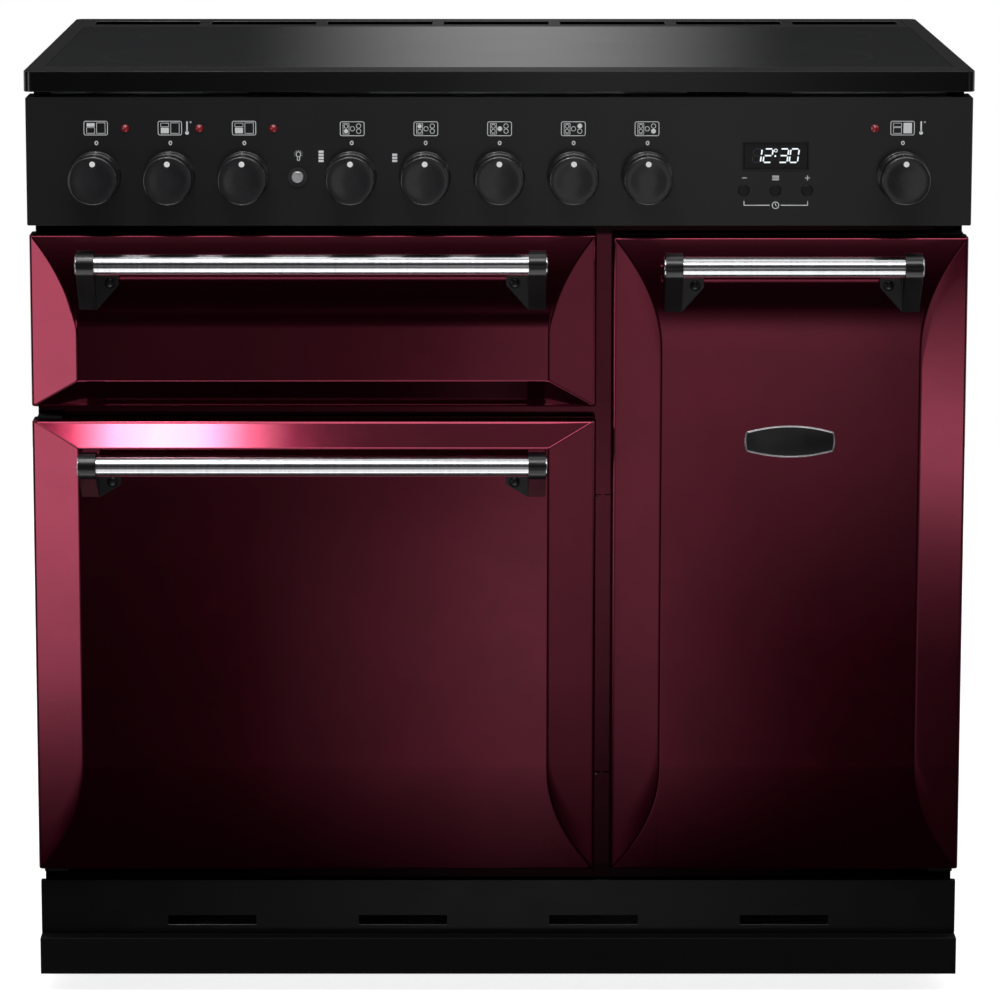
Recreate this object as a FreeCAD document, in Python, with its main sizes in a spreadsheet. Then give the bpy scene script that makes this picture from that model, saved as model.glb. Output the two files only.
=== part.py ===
import FreeCAD, Part
import math
import os
import re
import Sketcher
from FreeCAD import Placement, Rotation, Vector

# Range cooker, 90 cm wide, electric, with three ovens and an induction hob.
# X runs to the right, Y to the back and Z up. The origin is on the floor, in the middle of the
# cooker's width and of its depth over the door handles. All lengths are in millimetres.

# Driving sizes
SIZES = {
    # Stack of the front, from the floor up
    "floor_gap": 21.0,
    "plinth_height": 36.3,
    "trim_height": 53.4,
    "lower_gap": 15.8,
    "main_door_height": 443.1,
    "row_gap": 13.0,
    "grill_door_height": 166.3,
    "tall_door_drop": 2.4,
    "upper_gap": 9.5,
    "panel_height": 122.0,
    "hob_gap": 5.3,
    "hob_edge": 19.3,
    # Widths across the front
    "left_door_width": 539.5,
    "column_gap": 15.4,
    "right_door_width": 338.1,
    "hob_overhang": 2.0,
    "panel_overhang": 0.5,
    "door_overhang": 4.0,
    # Depths behind the front edge of the hob
    "hob_depth": 600.0,
    "frame_setback": 40.0,
    "panel_setback": 4.0,
    "rim_setback": 15.0,
    "trim_setback": 33.0,
    # Sheets and clearances
    "case_sheet": 1.0,
    "frame_sheet": 1.5,
    "panel_sheet": 1.5,
    "flange": 15.0,
    "clearance": 0.3,
    "running_fit": 0.05,
    "cut_margin": 10.0,
    # Doors
    "door_proud": 18.0,
    "door_facet": 45.5,
    "door_bow": 108.0,
    "grill_bevel": 28.0,
    "main_bevel": 24.5,
    "door_wall": 1.5,
    "door_gap": 4.0,
    "liner_sheet": 2.0,
    # Handles
    "bar_radius": 10.0,
    "left_bar_length": 445.0,
    "right_bar_length": 244.8,
    "collar_radius": 13.5,
    "collar_width": 16.5,
    "collar_inset": 1.5,
    "bow_bar_standoff": 25.0,
    "flat_bar_standoff": 32.0,
    "bow_bar_drop": 23.6,
    "flat_bar_drop": 35.8,
    "bow_foot_drop": 46.0,
    "flat_foot_drop": 35.0,
    "lug_width": 21.0,
    "lug_height": 9.0,
    "lug_thickness": 4.0,
    "lug_screw_radius": 5.2,
    "lug_screw_depth": 1.5,
    "lug_screw_share": 0.6,
    "leg_front_share": 0.6,
    "leg_side_share": 0.8,
    # Door hinges
    "side_pivot_inset": 8.0,
    "side_pivot_depth": 14.0,
    "side_pin_radius": 3.0,
    "side_pin_reach": 13.0,
    "side_pin_gap": 0.9,
    "side_bracket_sheet": 2.5,
    "side_bracket_width": 20.0,
    "side_bracket_front": 6.0,
    "bush_half": 6.5,
    "bush_height": 12.0,
    "drop_pivot_height": 13.9,
    "drop_pivot_depth": 18.0,
    "drop_pin_radius": 2.5,
    "drop_pin_length": 18.0,
    "drop_lug_sheet": 4.0,
    "drop_lug_half": 6.0,
    "drop_lug_inset": 21.5,
    "drop_slot_reach": 9.0,
    "drop_ear_sheet": 5.0,
    "rim_relief": 6.0,
    "keeper_width": 6.0,
    "keeper_height": 14.0,
    "keeper_reach": 2.5,
    # Knobs on the control panel
    "knob_pitch": 70.0,
    "oven_knob_place": 381.6,
    "knob_rise": 46.6,
    "knob_skirt_radius": 24.3,
    "knob_skirt": 3.5,
    "knob_step_radius": 23.3,
    "knob_step": 15.0,
    "knob_cap_radius": 22.3,
    "knob_reach": 37.0,
    "knob_round": 3.5,
    "spindle_radius": 3.0,
    "spindle_reach": 24.0,
    "spindle_collar_radius": 7.0,
    "switch_half": 21.0,
    "switch_depth": 26.0,
    # Light button
    "light_place": 190.5,
    "light_radius": 5.7,
    "light_reach": 6.0,
    "light_bezel_radius": 9.0,
    "light_bezel_reach": 3.0,
    "light_stem_radius": 2.5,
    "light_switch_depth": 18.0,
    "light_stem_grip": 5.25,
    # Neons
    "neon_radius": 3.75,
    "neon_reach": 1.6,
    "neon_rise": 92.6,
    "neon_offset": 28.6,
    "neon_right_offset": 27.0,
    "neon_body": 12.0,
    # Clock
    "clock_place": 261.4,
    "clock_rise": 66.3,
    "clock_width": 60.2,
    "clock_height": 24.7,
    "clock_lip": 1.4,
    "clock_lip_reach": 1.2,
    "clock_button_pitch": 29.9,
    "clock_button_rise": 33.4,
    "clock_button_radius": 5.25,
    "clock_button_gap": 0.3,
    "clock_button_sink": 0.4,
    "clock_button_length": 6.0,
    "clock_button_stem": 1.5,
    "clock_button_room": 2.0,
    "clock_box_depth": 24.0,
    "clock_box_margin": 5.0,
    # Hob
    "hob_corner": 8.0,
    "hob_skirt": 3.0,
    "hob_top": 6.0,
    "hob_front_strip": 44.0,
    "hob_side_strip": 16.0,
    "glass_depth": 458.0,
    "glass_sheet": 4.0,
    "glass_seat": 8.0,
    "vent_strip": 6.0,
    "vent_depth": 84.0,
    "vent_drop": 16.0,
    "vent_sheet": 2.0,
    "vent_slot_pitch": 123.0,
    "vent_slot_width": 110.0,
    "vent_slot_depth": 44.0,
    # Coils and their tray
    "coil_offset": 290.0,
    "coil_row": 115.0,
    "large_coil": 112.0,
    "medium_coil": 94.0,
    "small_coil": 74.0,
    "coil_former": 5.0,
    "coil_winding": 9.0,
    "coil_eye": 18.0,
    "tray_sheet": 1.5,
    "tray_side_gap": 14.0,
    "tray_drop": 46.0,
    "tray_hanger": 12.0,
    "board_sheet": 2.0,
    "board_length": 300.0,
    "board_width": 170.0,
    "board_offset": 215.0,
    "board_rise": 6.0,
    "sink_height": 24.0,
    "sink_width": 60.0,
    "sink_length": 200.0,
    "board_post_share": 0.45,
    # Ovens
    "cavity_sheet": 1.2,
    "cavity_flange": 10.0,
    "left_mouth_margin": 49.75,
    "right_mouth_margin": 51.05,
    "main_cavity_height": 340.0,
    "tall_cavity_height": 550.0,
    "grill_cavity_height": 115.0,
    "oven_depth": 380.0,
    "grill_depth": 340.0,
    "wool": 22.0,
    "wool_front_gap": 8.0,
    "seal_width": 8.0,
    "seal_offset": 4.0,
    "shaft_hole": 12.0,
    # Fans, baffles and elements
    "fan_radius": 62.0,
    "fan_disc": 1.5,
    "fan_blade_depth": 18.0,
    "fan_blade_sheet": 1.2,
    "fan_hub_radius": 10.0,
    "fan_shaft_radius": 4.0,
    "fan_blade_share": 0.6,
    "fan_wall_gap": 14.0,
    "motor_radius": 36.0,
    "motor_length": 48.0,
    "motor_boss": 9.0,
    "baffle_gap": 44.0,
    "baffle_sheet": 1.2,
    "baffle_side_gap": 14.0,
    "baffle_eye": 50.0,
    "ring_radius": 78.0,
    "element_radius": 3.4,
    "element_ferrule_radius": 4.6,
    "element_leg_spread": 15.6,
    "grill_element_drop": 14.0,
    "grill_element_pitch": 104.0,
    "grill_element_loop": 12.0,
    "grill_element_length": 250.0,
    "cooling_fan_radius": 36.0,
    "cooling_fan_rise": 39.0,
    "cooling_motor_length": 38.0,
    "cooling_motor_radius": 28.8,
    # Racks, shelves and pan
    "rack_wire": 2.0,
    "rack_stand_off": 3.0,
    "rack_runner": 7.0,
    "runner_wire": 2.5,
    "rack_front_gap": 30.0,
    "rack_length": 290.0,
    "rack_height_share": 0.94,
    "shelf_wire": 3.0,
    "shelf_rung": 1.8,
    "shelf_pitch": 24.0,
    "shelf_side_gap": 8.0,
    "shelf_front_gap": 26.0,
    "shelf_length": 290.0,
    "pan_side_gap": 30.0,
    "pan_length": 280.0,
    "pan_height": 32.0,
    "pan_sheet": 1.5,
    # Lamps
    "lamp_radius": 14.0,
    "lamp_length": 20.0,
    # Base, feet and rollers
    "tray_rise": 41.0,
    "base_skirt": 34.0,
    "foot_place": 380.0,
    "foot_setback": 80.0,
    "foot_radius": 22.0,
    "foot_pad": 6.0,
    "foot_neck": 16.0,
    "foot_rod": 5.0,
    "roller_setforward": 62.0,
    "roller_radius": 20.0,
    "roller_width": 22.0,
    "roller_axle": 4.0,
    "roller_cheek": 2.5,
    "roller_cheek_gap": 0.6,
    "roller_cheek_length": 34.0,
    # Plinth and vent trim
    "plinth_sheet": 1.5,
    "plinth_return": 60.0,
    "trim_slot_width": 85.4,
    "trim_slot_height": 8.8,
    "trim_slot_pitch": 186.4,
    "trim_slot_rise": 13.1,
    # Back
    "louvre_width": 60.0,
    "louvre_height": 6.0,
    "louvre_pitch": 76.0,
    "louvre_count": 10,
    "louvre_rows_gap": 14.0,
    "louvre_drop": 70.0,
    "terminal_width": 110.0,
    "terminal_height": 90.0,
    "terminal_depth": 42.0,
    "terminal_place": 260.0,
    "terminal_rise": 230.0,
    "terminal_sheet": 2.0,
    "cable_hole": 11.0,
}

# Places worked out from the driving sizes
PLACES = {
    "door_span": "left_door_width + column_gap + right_door_width",
    "handle_reach": "door_proud - rim_setback + flat_bar_standoff + collar_radius",
    "back_y": "(hob_depth + handle_reach) / 2",
    "hob_y": "back_y - hob_depth",
    "frame_y": "hob_y + frame_setback",
    "panel_y": "hob_y + panel_setback",
    "rim_y": "hob_y + rim_setback",
    "face_y": "rim_y - door_proud",
    "trim_y": "hob_y + trim_setback",
    "liner_y": "frame_y - door_gap",
    "inner_y": "frame_y + frame_sheet",
    "span_x": "door_span / 2",
    "case_x": "span_x - door_overhang",
    "case_in_x": "case_x - case_sheet",
    "hob_x": "span_x + hob_overhang",
    "panel_x": "span_x + panel_overhang",
    "left_x0": "-span_x",
    "left_x1": "left_x0 + left_door_width",
    "right_x0": "span_x - right_door_width",
    "right_x1": "span_x",
    "left_centre": "(left_x0 + left_x1) / 2",
    "right_centre": "(right_x0 + right_x1) / 2",
    "plinth_top": "floor_gap + plinth_height",
    "trim_top": "plinth_top + trim_height",
    "main_z0": "trim_top + lower_gap",
    "main_z1": "main_z0 + main_door_height",
    "grill_z0": "main_z1 + row_gap",
    "grill_z1": "grill_z0 + grill_door_height",
    "tall_z0": "main_z0",
    "tall_z1": "grill_z1 - tall_door_drop",
    "panel_z0": "grill_z1 + upper_gap",
    "panel_z1": "panel_z0 + panel_height",
    "hob_z0": "panel_z1 + hob_gap",
    "hob_z1": "hob_z0 + hob_edge",
    "knob_z": "panel_z0 + knob_rise",
    "neon_z": "panel_z0 + neon_rise",
    "clock_z": "panel_z0 + clock_rise",
    "clock_button_z": "panel_z0 + clock_button_rise",
    "glass_x": "hob_x - hob_side_strip",
    "glass_y0": "hob_y + hob_front_strip",
    "glass_y1": "glass_y0 + glass_depth",
    "vent_y0": "glass_y1 + vent_strip",
    "vent_y1": "vent_y0 + vent_depth",
    "glass_z0": "hob_z1 - glass_sheet",
    "coil_z": "glass_z0 - clearance - coil_former - coil_winding",
    "tray_z0": "coil_z - tray_drop",
    "tray_x": "case_in_x - tray_side_gap",
    "tray_y0": "glass_y0 + glass_seat",
    "tray_y1": "glass_y1 - glass_seat",
    "main_cavity_x": "left_centre",
    "tall_cavity_x": "right_centre",
    "main_cavity_z": "(main_z0 + main_z1) / 2",
    "grill_cavity_z": "(grill_z0 + grill_z1) / 2",
    "tall_cavity_z": "(tall_z0 + tall_z1) / 2",
    "left_cavity_width": "left_door_width - left_mouth_margin * 2",
    "right_cavity_width": "right_door_width - right_mouth_margin * 2",
    "pan_width": "left_cavity_width - pan_side_gap * 2",
    "oven_back_y": "frame_y + oven_depth",
    "grill_back_y": "frame_y + grill_depth",
    "base_z": "floor_gap + tray_rise",
    "bow_bar_y": "face_y - bow_bar_standoff",
    "flat_bar_y": "face_y - flat_bar_standoff",
    "grill_bar_z": "grill_z1 - bow_bar_drop",
    "main_bar_z": "main_z1 - flat_bar_drop",
    "tall_bar_z": "tall_z1 - bow_bar_drop",
    "side_pivot_y": "frame_y - side_pivot_depth",
    "main_pivot_x": "left_x0 + side_pivot_inset",
    "tall_pivot_x": "right_x1 - side_pivot_inset",
    "drop_pivot_y": "frame_y - drop_pivot_depth",
    "drop_pivot_z": "grill_z0 + drop_pivot_height",
    "roller_y": "back_y - roller_setforward",
    "foot_y": "frame_y + foot_setback",
    "cooling_y": "back_y - case_sheet - cooling_motor_length",
    "cooling_z": "panel_z0 + cooling_fan_rise",
}

doc = FreeCAD.newDocument("range_cooker")
sheet = doc.addObject("Spreadsheet::Sheet", "sizes")
for row, (alias, amount) in enumerate(SIZES.items(), start=1):
    sheet.set(f"A{row}", alias)
    sheet.set(f"B{row}", str(amount))
    sheet.setAlias(f"B{row}", alias)
doc.recompute()

# Counts of equal pieces
VENT_SLOTS = 7
TRIM_SLOTS = 4
GRILL_LOOPS = 4
FAN_BLADES = 12

finished = []
pocket_pairs = []
ALONG = {
    "x": Rotation(Vector(0, 1, 0), 90),
    "y": Rotation(Vector(1, 0, 0), -90),
    "z": Rotation(),
}
# A pad grows along its plane's normal, which is -Y on the front plane, so the offsets differ.
PAD_START = {"XY_Plane": "{low}", "XZ_Plane": "-({high})", "YZ_Plane": "{low}"}
POCKET_START = {"XY_Plane": "{high}", "XZ_Plane": "-({low})", "YZ_Plane": "{high}"}


def bound(formula):
    """A formula in plain names, written with the sheet's cells and the worked-out places."""
    def cell(match):
        word = match.group(0)
        if word in PLACES:
            return "(" + bound(PLACES[word]) + ")"
        return "sizes." + word if word in SIZES else word
    return re.sub(r"[a-z_][a-z0-9_]*", cell, formula)


def number(formula):
    """The value that a formula has now."""
    return float(sheet.evalExpression(bound(formula)))


def bind(item, slot, formula):
    item.setExpression(slot, bound(formula))


def finish(item):
    """Keep an object as one named piece of the cooker."""
    finished.append(item)
    return item


# Primitives and booleans
def box(name, x, y, z):
    """A block between two faces each way, given as low and high formulas."""
    item = doc.addObject("Part::Box", name)
    for slot, axis, (low, high) in zip(("Length", "Width", "Height"), "xyz", (x, y, z)):
        bind(item, slot, f"({high}) - ({low})")
        bind(item, f"Placement.Base.{axis}", low)
    return item


def rod(name, axis, radius, start, length):
    """A cylinder along one axis, from the centre of its low end."""
    item = doc.addObject("Part::Cylinder", name)
    item.Placement = Placement(Vector(), ALONG[axis])
    bind(item, "Radius", radius)
    bind(item, "Height", length)
    for way, place in zip("xyz", start):
        bind(item, f"Placement.Base.{way}", place)
    return item


def ring(name, axis, radius, wire, centre, angle="360"):
    """A round wire bent to a circle, or part of one, about an axis."""
    item = doc.addObject("Part::Torus", name)
    item.Placement = Placement(Vector(), ALONG[axis])
    bind(item, "Radius1", radius)
    bind(item, "Radius2", wire)
    bind(item, "Angle3", angle)
    for way, place in zip("xyz", centre):
        bind(item, f"Placement.Base.{way}", place)
    return item


def fuse(name, pieces):
    item = doc.addObject("Part::MultiFuse", name)
    item.Shapes = pieces
    return item


def group(name, pieces):
    """Separate solids that share one name."""
    item = doc.addObject("Part::Compound", name)
    item.Links = pieces
    return item


def cut(name, base, tools):
    item = doc.addObject("Part::Cut", name)
    item.Base = base
    item.Tool = tools[0] if len(tools) == 1 else fuse(name + "_tools", tools)
    return item


def shell(name, x, y, z, wall, open_low="", open_high=""):
    """A thin box, open at the low or the high end of the axes named."""
    outer = box(name + "_outer", x, y, z)
    inner = []
    for axis, (low, high) in zip("xyz", (x, y, z)):
        first = f"({low}) - cut_margin" if axis in open_low else f"({low}) + {wall}"
        last = f"({high}) + cut_margin" if axis in open_high else f"({high}) - {wall}"
        inner.append((first, last))
    return cut(name, outer, [box(name + "_inner", *inner)])


def frame_ring(name, centre_x, centre_z, width, height, rim, y):
    """A flat rectangular ring round an oven mouth."""
    outer_x = (f"{centre_x} - {width} / 2 - ({rim})", f"{centre_x} + {width} / 2 + ({rim})")
    outer_z = (f"{centre_z} - {height} / 2 - ({rim})", f"{centre_z} + {height} / 2 + ({rim})")
    inner_x = (f"{centre_x} - {width} / 2", f"{centre_x} + {width} / 2")
    inner_z = (f"{centre_z} - {height} / 2", f"{centre_z} + {height} / 2")
    through = (f"({y[0]}) - cut_margin", f"({y[1]}) + cut_margin")
    return cut(name, box(name + "_outer", outer_x, y, outer_z),
               [box(name + "_mouth", inner_x, through, inner_z)])


def spread(count):
    """Steps of a row of equal pieces, counted from its middle."""
    return [place - (count - 1) / 2 for place in range(count)]


# Outlines, pads, pockets and turned pieces
def body_of(name):
    return doc.addObject("PartDesign::Body", name)


def rectangle(u, v):
    return [(u[0], v[0]), (u[1], v[0]), (u[1], v[1]), (u[0], v[1])]


def rounded_rectangle(u, v, radius):
    """A rectangle, anticlockwise, whose corners are quarter circles."""
    (u0, u1), (v0, v1) = u, v
    return [
        (f"{u1} - {radius}", v0), (u1, f"{v0} + {radius}", radius, 1),
        (u1, f"{v1} - {radius}"), (f"{u1} - {radius}", v1, radius, 1),
        (f"{u0} + {radius}", v1), (u0, f"{v1} - {radius}", radius, 1),
        (u0, f"{v0} + {radius}"), (f"{u0} + {radius}", v0, radius, 1),
    ]


def arc_between(first, last, radius, side):
    """The shorter arc between two points; side is 1 with its centre on the left of the travel."""
    chord = last - first
    middle = (first + last) / 2
    left = Vector(-chord.y, chord.x, 0).normalize()
    rise = math.sqrt(max(radius ** 2 - (chord.Length / 2) ** 2, 0))
    centre = middle + left * rise * side
    top = centre + (middle - centre).normalize() * radius
    return Part.Arc(first, top, last)


def draw(sketch, loops):
    """Closed loops on a sketch, each corner tied to the sizes; a circle is (u, v, radius)."""
    for loop in loops:
        if isinstance(loop, tuple):
            u, v, radius = loop
            circle = Part.Circle(Vector(number(u), number(v), 0), Vector(0, 0, 1), number(radius))
            edge = sketch.addGeometry(circle, False)
            pin(sketch, "DistanceX", (-1, 1, edge, 3), u)
            pin(sketch, "DistanceY", (-1, 1, edge, 3), v)
            pin(sketch, "Radius", (edge,), radius)
            continue
        corners = [Vector(number(step[0]), number(step[1]), 0) for step in loop]
        ends = []
        for place, step in enumerate(loop):
            first, last = corners[place - 1], corners[place]
            if len(step) == 2:
                edge = sketch.addGeometry(Part.LineSegment(first, last), False)
                ends.append((edge, 1, 2))
                continue
            edge = sketch.addGeometry(arc_between(first, last, number(step[2]), step[3]), False)
            ends.append((edge, 1, 2) if step[3] > 0 else (edge, 2, 1))
        for place, step in enumerate(loop):
            edge, start, end = ends[place]
            following = ends[(place + 1) % len(ends)]
            sketch.addConstraint(Sketcher.Constraint("Coincident", edge, end, *following[:2]))
            pin(sketch, "DistanceX", (-1, 1, edge, end), step[0])
            pin(sketch, "DistanceY", (-1, 1, edge, end), step[1])
            if len(step) > 2:
                pin(sketch, "Radius", (edge,), step[2])


def pin(sketch, kind, geometry, formula):
    """One dimension of a sketch, tied to its formula."""
    place = sketch.addConstraint(Sketcher.Constraint(kind, *geometry, number(formula)))
    bind(sketch, f"Constraints[{place}]", formula)


def sketch_on(body, role, offset, loops):
    """A sketch on one of the body's own planes."""
    plane = next(item for item in body.Origin.OriginFeatures if item.Role == role)
    sketch = body.newObject("Sketcher::SketchObject", body.Name + "_sketch")
    sketch.AttachmentSupport = [(plane, "")]
    sketch.MapMode = "FlatFace"
    bind(sketch, "AttachmentOffset.Base.z", offset)
    draw(sketch, loops)
    return sketch


def pad(body, role, loops, low, high):
    """Material between two planes."""
    feature = body.newObject("PartDesign::Pad", body.Name + "_pad")
    feature.Profile = sketch_on(body, role, PAD_START[role].format(low=low, high=high), loops)
    bind(feature, "Length", f"({high}) - ({low})")
    body.Tip = feature
    return feature


def pocket(body, role, loops, low, high):
    """A cut between two planes, going in from the one that faces its plane's normal."""
    before = body.Tip
    feature = body.newObject("PartDesign::Pocket", body.Name + "_pocket")
    feature.Profile = sketch_on(body, role, POCKET_START[role].format(low=low, high=high), loops)
    bind(feature, "Length", f"({high}) - ({low})")
    body.Tip = feature
    pocket_pairs.append((before, feature))
    return feature


def turned(name, outline, centre):
    """A piece turned about the Y axis, drawn as radius and depth, standing at its centre."""
    body = body_of(name)
    feature = body.newObject("PartDesign::Revolution", name + "_turning")
    profile = sketch_on(body, "XY_Plane", "0", [outline])
    feature.Profile = profile
    feature.ReferenceAxis = (profile, ["V_Axis"])
    body.Tip = feature
    for way, place in zip("xyz", centre):
        bind(body, f"Placement.Base.{way}", place)
    return body


# Casing
def side_panel(name, outer, inner, fold):
    """A folded sheet side with a return at the front and at the back."""
    body = body_of(name)
    low, high = "inner_y", "back_y - case_sheet - clearance"
    outline = [
        (outer, low), (outer, high), (fold, high), (fold, f"{high} - case_sheet"),
        (inner, f"{high} - case_sheet"), (inner, f"{low} + case_sheet"),
        (fold, f"{low} + case_sheet"), (fold, low),
    ]
    pad(body, "XY_Plane", [outline], "floor_gap", "hob_z0 - clearance")
    return finish(body)


side_panel("side_panel_left", "-case_x", "-case_in_x", "-case_in_x + flange")
side_panel("side_panel_right", "case_x", "case_in_x", "case_in_x - flange")


def back_panel():
    """A flat sheet with two rows of cooling slots under the hob."""
    body = body_of("back_panel")
    sheet_y = ("back_y - case_sheet", "back_y")
    outline = rectangle(("-case_x", "case_x"), ("base_z", "hob_z0 - clearance"))
    pad(body, "XZ_Plane", [outline], *sheet_y)
    slots = []
    for row_name in ("hob_z0 - louvre_drop", "hob_z0 - louvre_drop - louvre_rows_gap"):
        first = "-louvre_pitch * (louvre_count - 1) / 2 - louvre_width / 2"
        slots.append(rectangle((first, first + " + louvre_width"), (row_name, row_name + " + louvre_height")))
    cutting = pocket(body, "XZ_Plane", slots, *sheet_y)
    repeats = body.newObject("PartDesign::LinearPattern", "back_panel_slots")
    repeats.Originals = [cutting]
    repeats.Direction = (cutting.Profile[0], ["H_Axis"])
    bind(repeats, "Occurrences", "louvre_count")
    bind(repeats, "Length", "louvre_pitch * (louvre_count - 1)")
    body.Tip = repeats
    pocket_pairs.append((cutting, repeats))
    return finish(body)


back_panel()


def base_tray():
    """The bottom tray, turned down all round, with two pairs of roller cheeks under it."""
    case = ("-case_in_x + clearance", "case_in_x - clearance")
    depth = ("inner_y + case_sheet + clearance", "back_y - case_sheet * 2 - clearance * 2")
    tray = shell("base_tray_sheet", case, depth, ("base_z - base_skirt", "base_z"), "frame_sheet", "z")
    cheeks = []
    for side in ("-", ""):
        for place, way in (("inner", "-"), ("outer", "")):
            near = f"{side}foot_place {way or '+'} (roller_width / 2 + roller_cheek_gap)"
            far = f"{side}foot_place {way or '+'} (roller_width / 2 + roller_cheek_gap + roller_cheek)"
            span = (far, near) if way else (near, far)
            cheek = box(
                f"roller_cheek_{'left' if side else 'right'}_{place}", span,
                ("roller_y - roller_cheek_length / 2", "roller_y + roller_cheek_length / 2"),
                ("roller_radius - roller_cheek_length / 4", "base_z - frame_sheet / 2"),
            )
            cheeks.append(cheek)
        axle_reach = "roller_width / 2 + roller_cheek_gap + roller_cheek"
        axle = rod(
            f"roller_axle_{'left' if side else 'right'}", "x", "roller_axle",
            (f"{side}foot_place - ({axle_reach})", "roller_y", "roller_radius"), f"({axle_reach}) * 2",
        )
        cheeks.append(axle)
    return finish(fuse("base_tray", [tray] + cheeks))


base_tray()


def levelling_feet():
    """Two screwed feet under the front of the base tray."""
    outline = [
        ("0", "0"), ("foot_radius", "0"), ("foot_radius", "foot_pad"), ("foot_rod", "foot_neck"),
        ("foot_rod", "base_z - frame_sheet - clearance"), ("0", "base_z - frame_sheet - clearance"),
    ]
    feet = []
    for side, name in (("-", "foot_left"), ("", "foot_right")):
        body = body_of(name)
        feature = body.newObject("PartDesign::Revolution", name + "_turning")
        profile = sketch_on(body, "XZ_Plane", "0", [outline])
        feature.Profile = profile
        feature.ReferenceAxis = (profile, ["V_Axis"])
        body.Tip = feature
        bind(body, "Placement.Base.x", f"{side}foot_place")
        bind(body, "Placement.Base.y", "foot_y")
        feet.append(body)
    return finish(group("levelling_feet", feet))


levelling_feet()


def rear_rollers():
    """Two plastic rollers on one axle line."""
    wheels = []
    for side, name in (("-", "left"), ("", "right")):
        start = (f"{side}foot_place - roller_width / 2", "roller_y", "roller_radius")
        wheel = rod(f"roller_{name}_rim", "x", "roller_radius", start, "roller_width")
        bore_start = (f"{side}foot_place - roller_width", "roller_y", "roller_radius")
        bore = rod(f"roller_{name}_bore", "x", "roller_axle + running_fit", bore_start, "roller_width * 2")
        wheels.append(cut(f"roller_{name}", wheel, [bore]))
    return finish(group("rear_rollers", wheels))


rear_rollers()


# Front
def front_frame():
    """The enamelled front sheet with three oven mouths and a folded top edge."""
    body = body_of("front_frame")
    mouths = []
    for centre_x, centre_z, width, height in (
        ("main_cavity_x", "main_cavity_z", "left_cavity_width", "main_cavity_height"),
        ("main_cavity_x", "grill_cavity_z", "left_cavity_width", "grill_cavity_height"),
        ("tall_cavity_x", "tall_cavity_z", "right_cavity_width", "tall_cavity_height"),
    ):
        mouths.append(rectangle(
            (f"{centre_x} - {width} / 2", f"{centre_x} + {width} / 2"),
            (f"{centre_z} - {height} / 2", f"{centre_z} + {height} / 2"),
        ))
    outline = rectangle(("-case_x", "case_x"), ("trim_top - flange", "panel_z0 - clearance"))
    pad(body, "XZ_Plane", [outline], "frame_y", "inner_y")
    pocket(body, "XZ_Plane", mouths, "frame_y", "inner_y")
    fold = rectangle(("-case_in_x + flange + clearance", "case_in_x - flange - clearance"),
                     ("panel_z0 - clearance - frame_sheet", "panel_z0 - clearance"))
    pad(body, "XZ_Plane", [fold], "inner_y", "inner_y + flange")
    return finish(body)


front_frame()


def vent_trim():
    """The pressed trim below the doors with four air slots."""
    body = body_of("vent_trim")
    span, rise = ("-span_x", "span_x"), ("plinth_top + clearance", "trim_top")
    pad(body, "XZ_Plane", [rectangle(span, rise)], "trim_y", "frame_y - clearance")
    inner = rectangle(("-span_x + plinth_sheet", "span_x - plinth_sheet"),
                      ("plinth_top + clearance + plinth_sheet", "trim_top - plinth_sheet"))
    pocket(body, "XZ_Plane", [inner], "trim_y + plinth_sheet", "frame_y")
    slots = []
    for step in spread(TRIM_SLOTS):
        middle = f"trim_slot_pitch * ({step})"
        slots.append(rectangle(
            (f"{middle} - trim_slot_width / 2", f"{middle} + trim_slot_width / 2"),
            ("plinth_top + trim_slot_rise - trim_slot_height / 2",
             "plinth_top + trim_slot_rise + trim_slot_height / 2"),
        ))
    pocket(body, "XZ_Plane", slots, "trim_y - cut_margin", "trim_y + plinth_sheet")
    return finish(body)


vent_trim()


def plinth():
    """The toe board, with a top ledge and two side returns along the case."""
    outer = box("plinth_outer", ("-span_x", "span_x"), ("rim_y", "rim_y + plinth_return"),
                ("floor_gap", "plinth_top"))
    inner = box("plinth_inner", ("-span_x + plinth_sheet", "span_x - plinth_sheet"),
                ("rim_y + plinth_sheet", "rim_y + plinth_return + cut_margin"),
                ("floor_gap - cut_margin", "plinth_top - plinth_sheet"))
    notch = box("plinth_notch", ("-case_x - clearance", "case_x + clearance"),
                ("frame_y", "rim_y + plinth_return + cut_margin"),
                ("plinth_top - plinth_sheet * 2", "plinth_top + cut_margin"))
    return finish(cut("plinth", outer, [inner, notch]))


plinth()


def control_panel():
    """The fascia: a pressed sheet, open at the back, pierced for what shows on it."""
    body = body_of("control_panel")
    face = rounded_rectangle(("-panel_x", "panel_x"), ("panel_z0", "panel_z1"), "panel_sheet")
    pad(body, "XZ_Plane", [face], "panel_y", "frame_y")
    inner = rectangle(("-panel_x + panel_sheet", "panel_x - panel_sheet"),
                      ("panel_z0 + panel_sheet", "panel_z1 - panel_sheet"))
    pocket(body, "XZ_Plane", [inner], "panel_y + panel_sheet", "frame_y + cut_margin")
    holes = [(place, "knob_z", "spindle_collar_radius + clearance") for _, place in KNOBS]
    holes.append(("-light_place", "knob_z", "light_radius + clearance * 2 + running_fit"))
    holes += [(place, "neon_z", "neon_radius + running_fit") for place in NEONS]
    button_hole = "clock_button_radius + clock_button_gap"
    holes += [(place, "clock_button_z", button_hole) for _, place in CLOCK_BUTTONS]
    holes.append(rectangle(
        ("clock_place - clock_width / 2", "clock_place + clock_width / 2"),
        ("clock_z - clock_height / 2", "clock_z + clock_height / 2"),
    ))
    pocket(body, "XZ_Plane", holes, "panel_y", "panel_y + panel_sheet")
    return finish(body)


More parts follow.
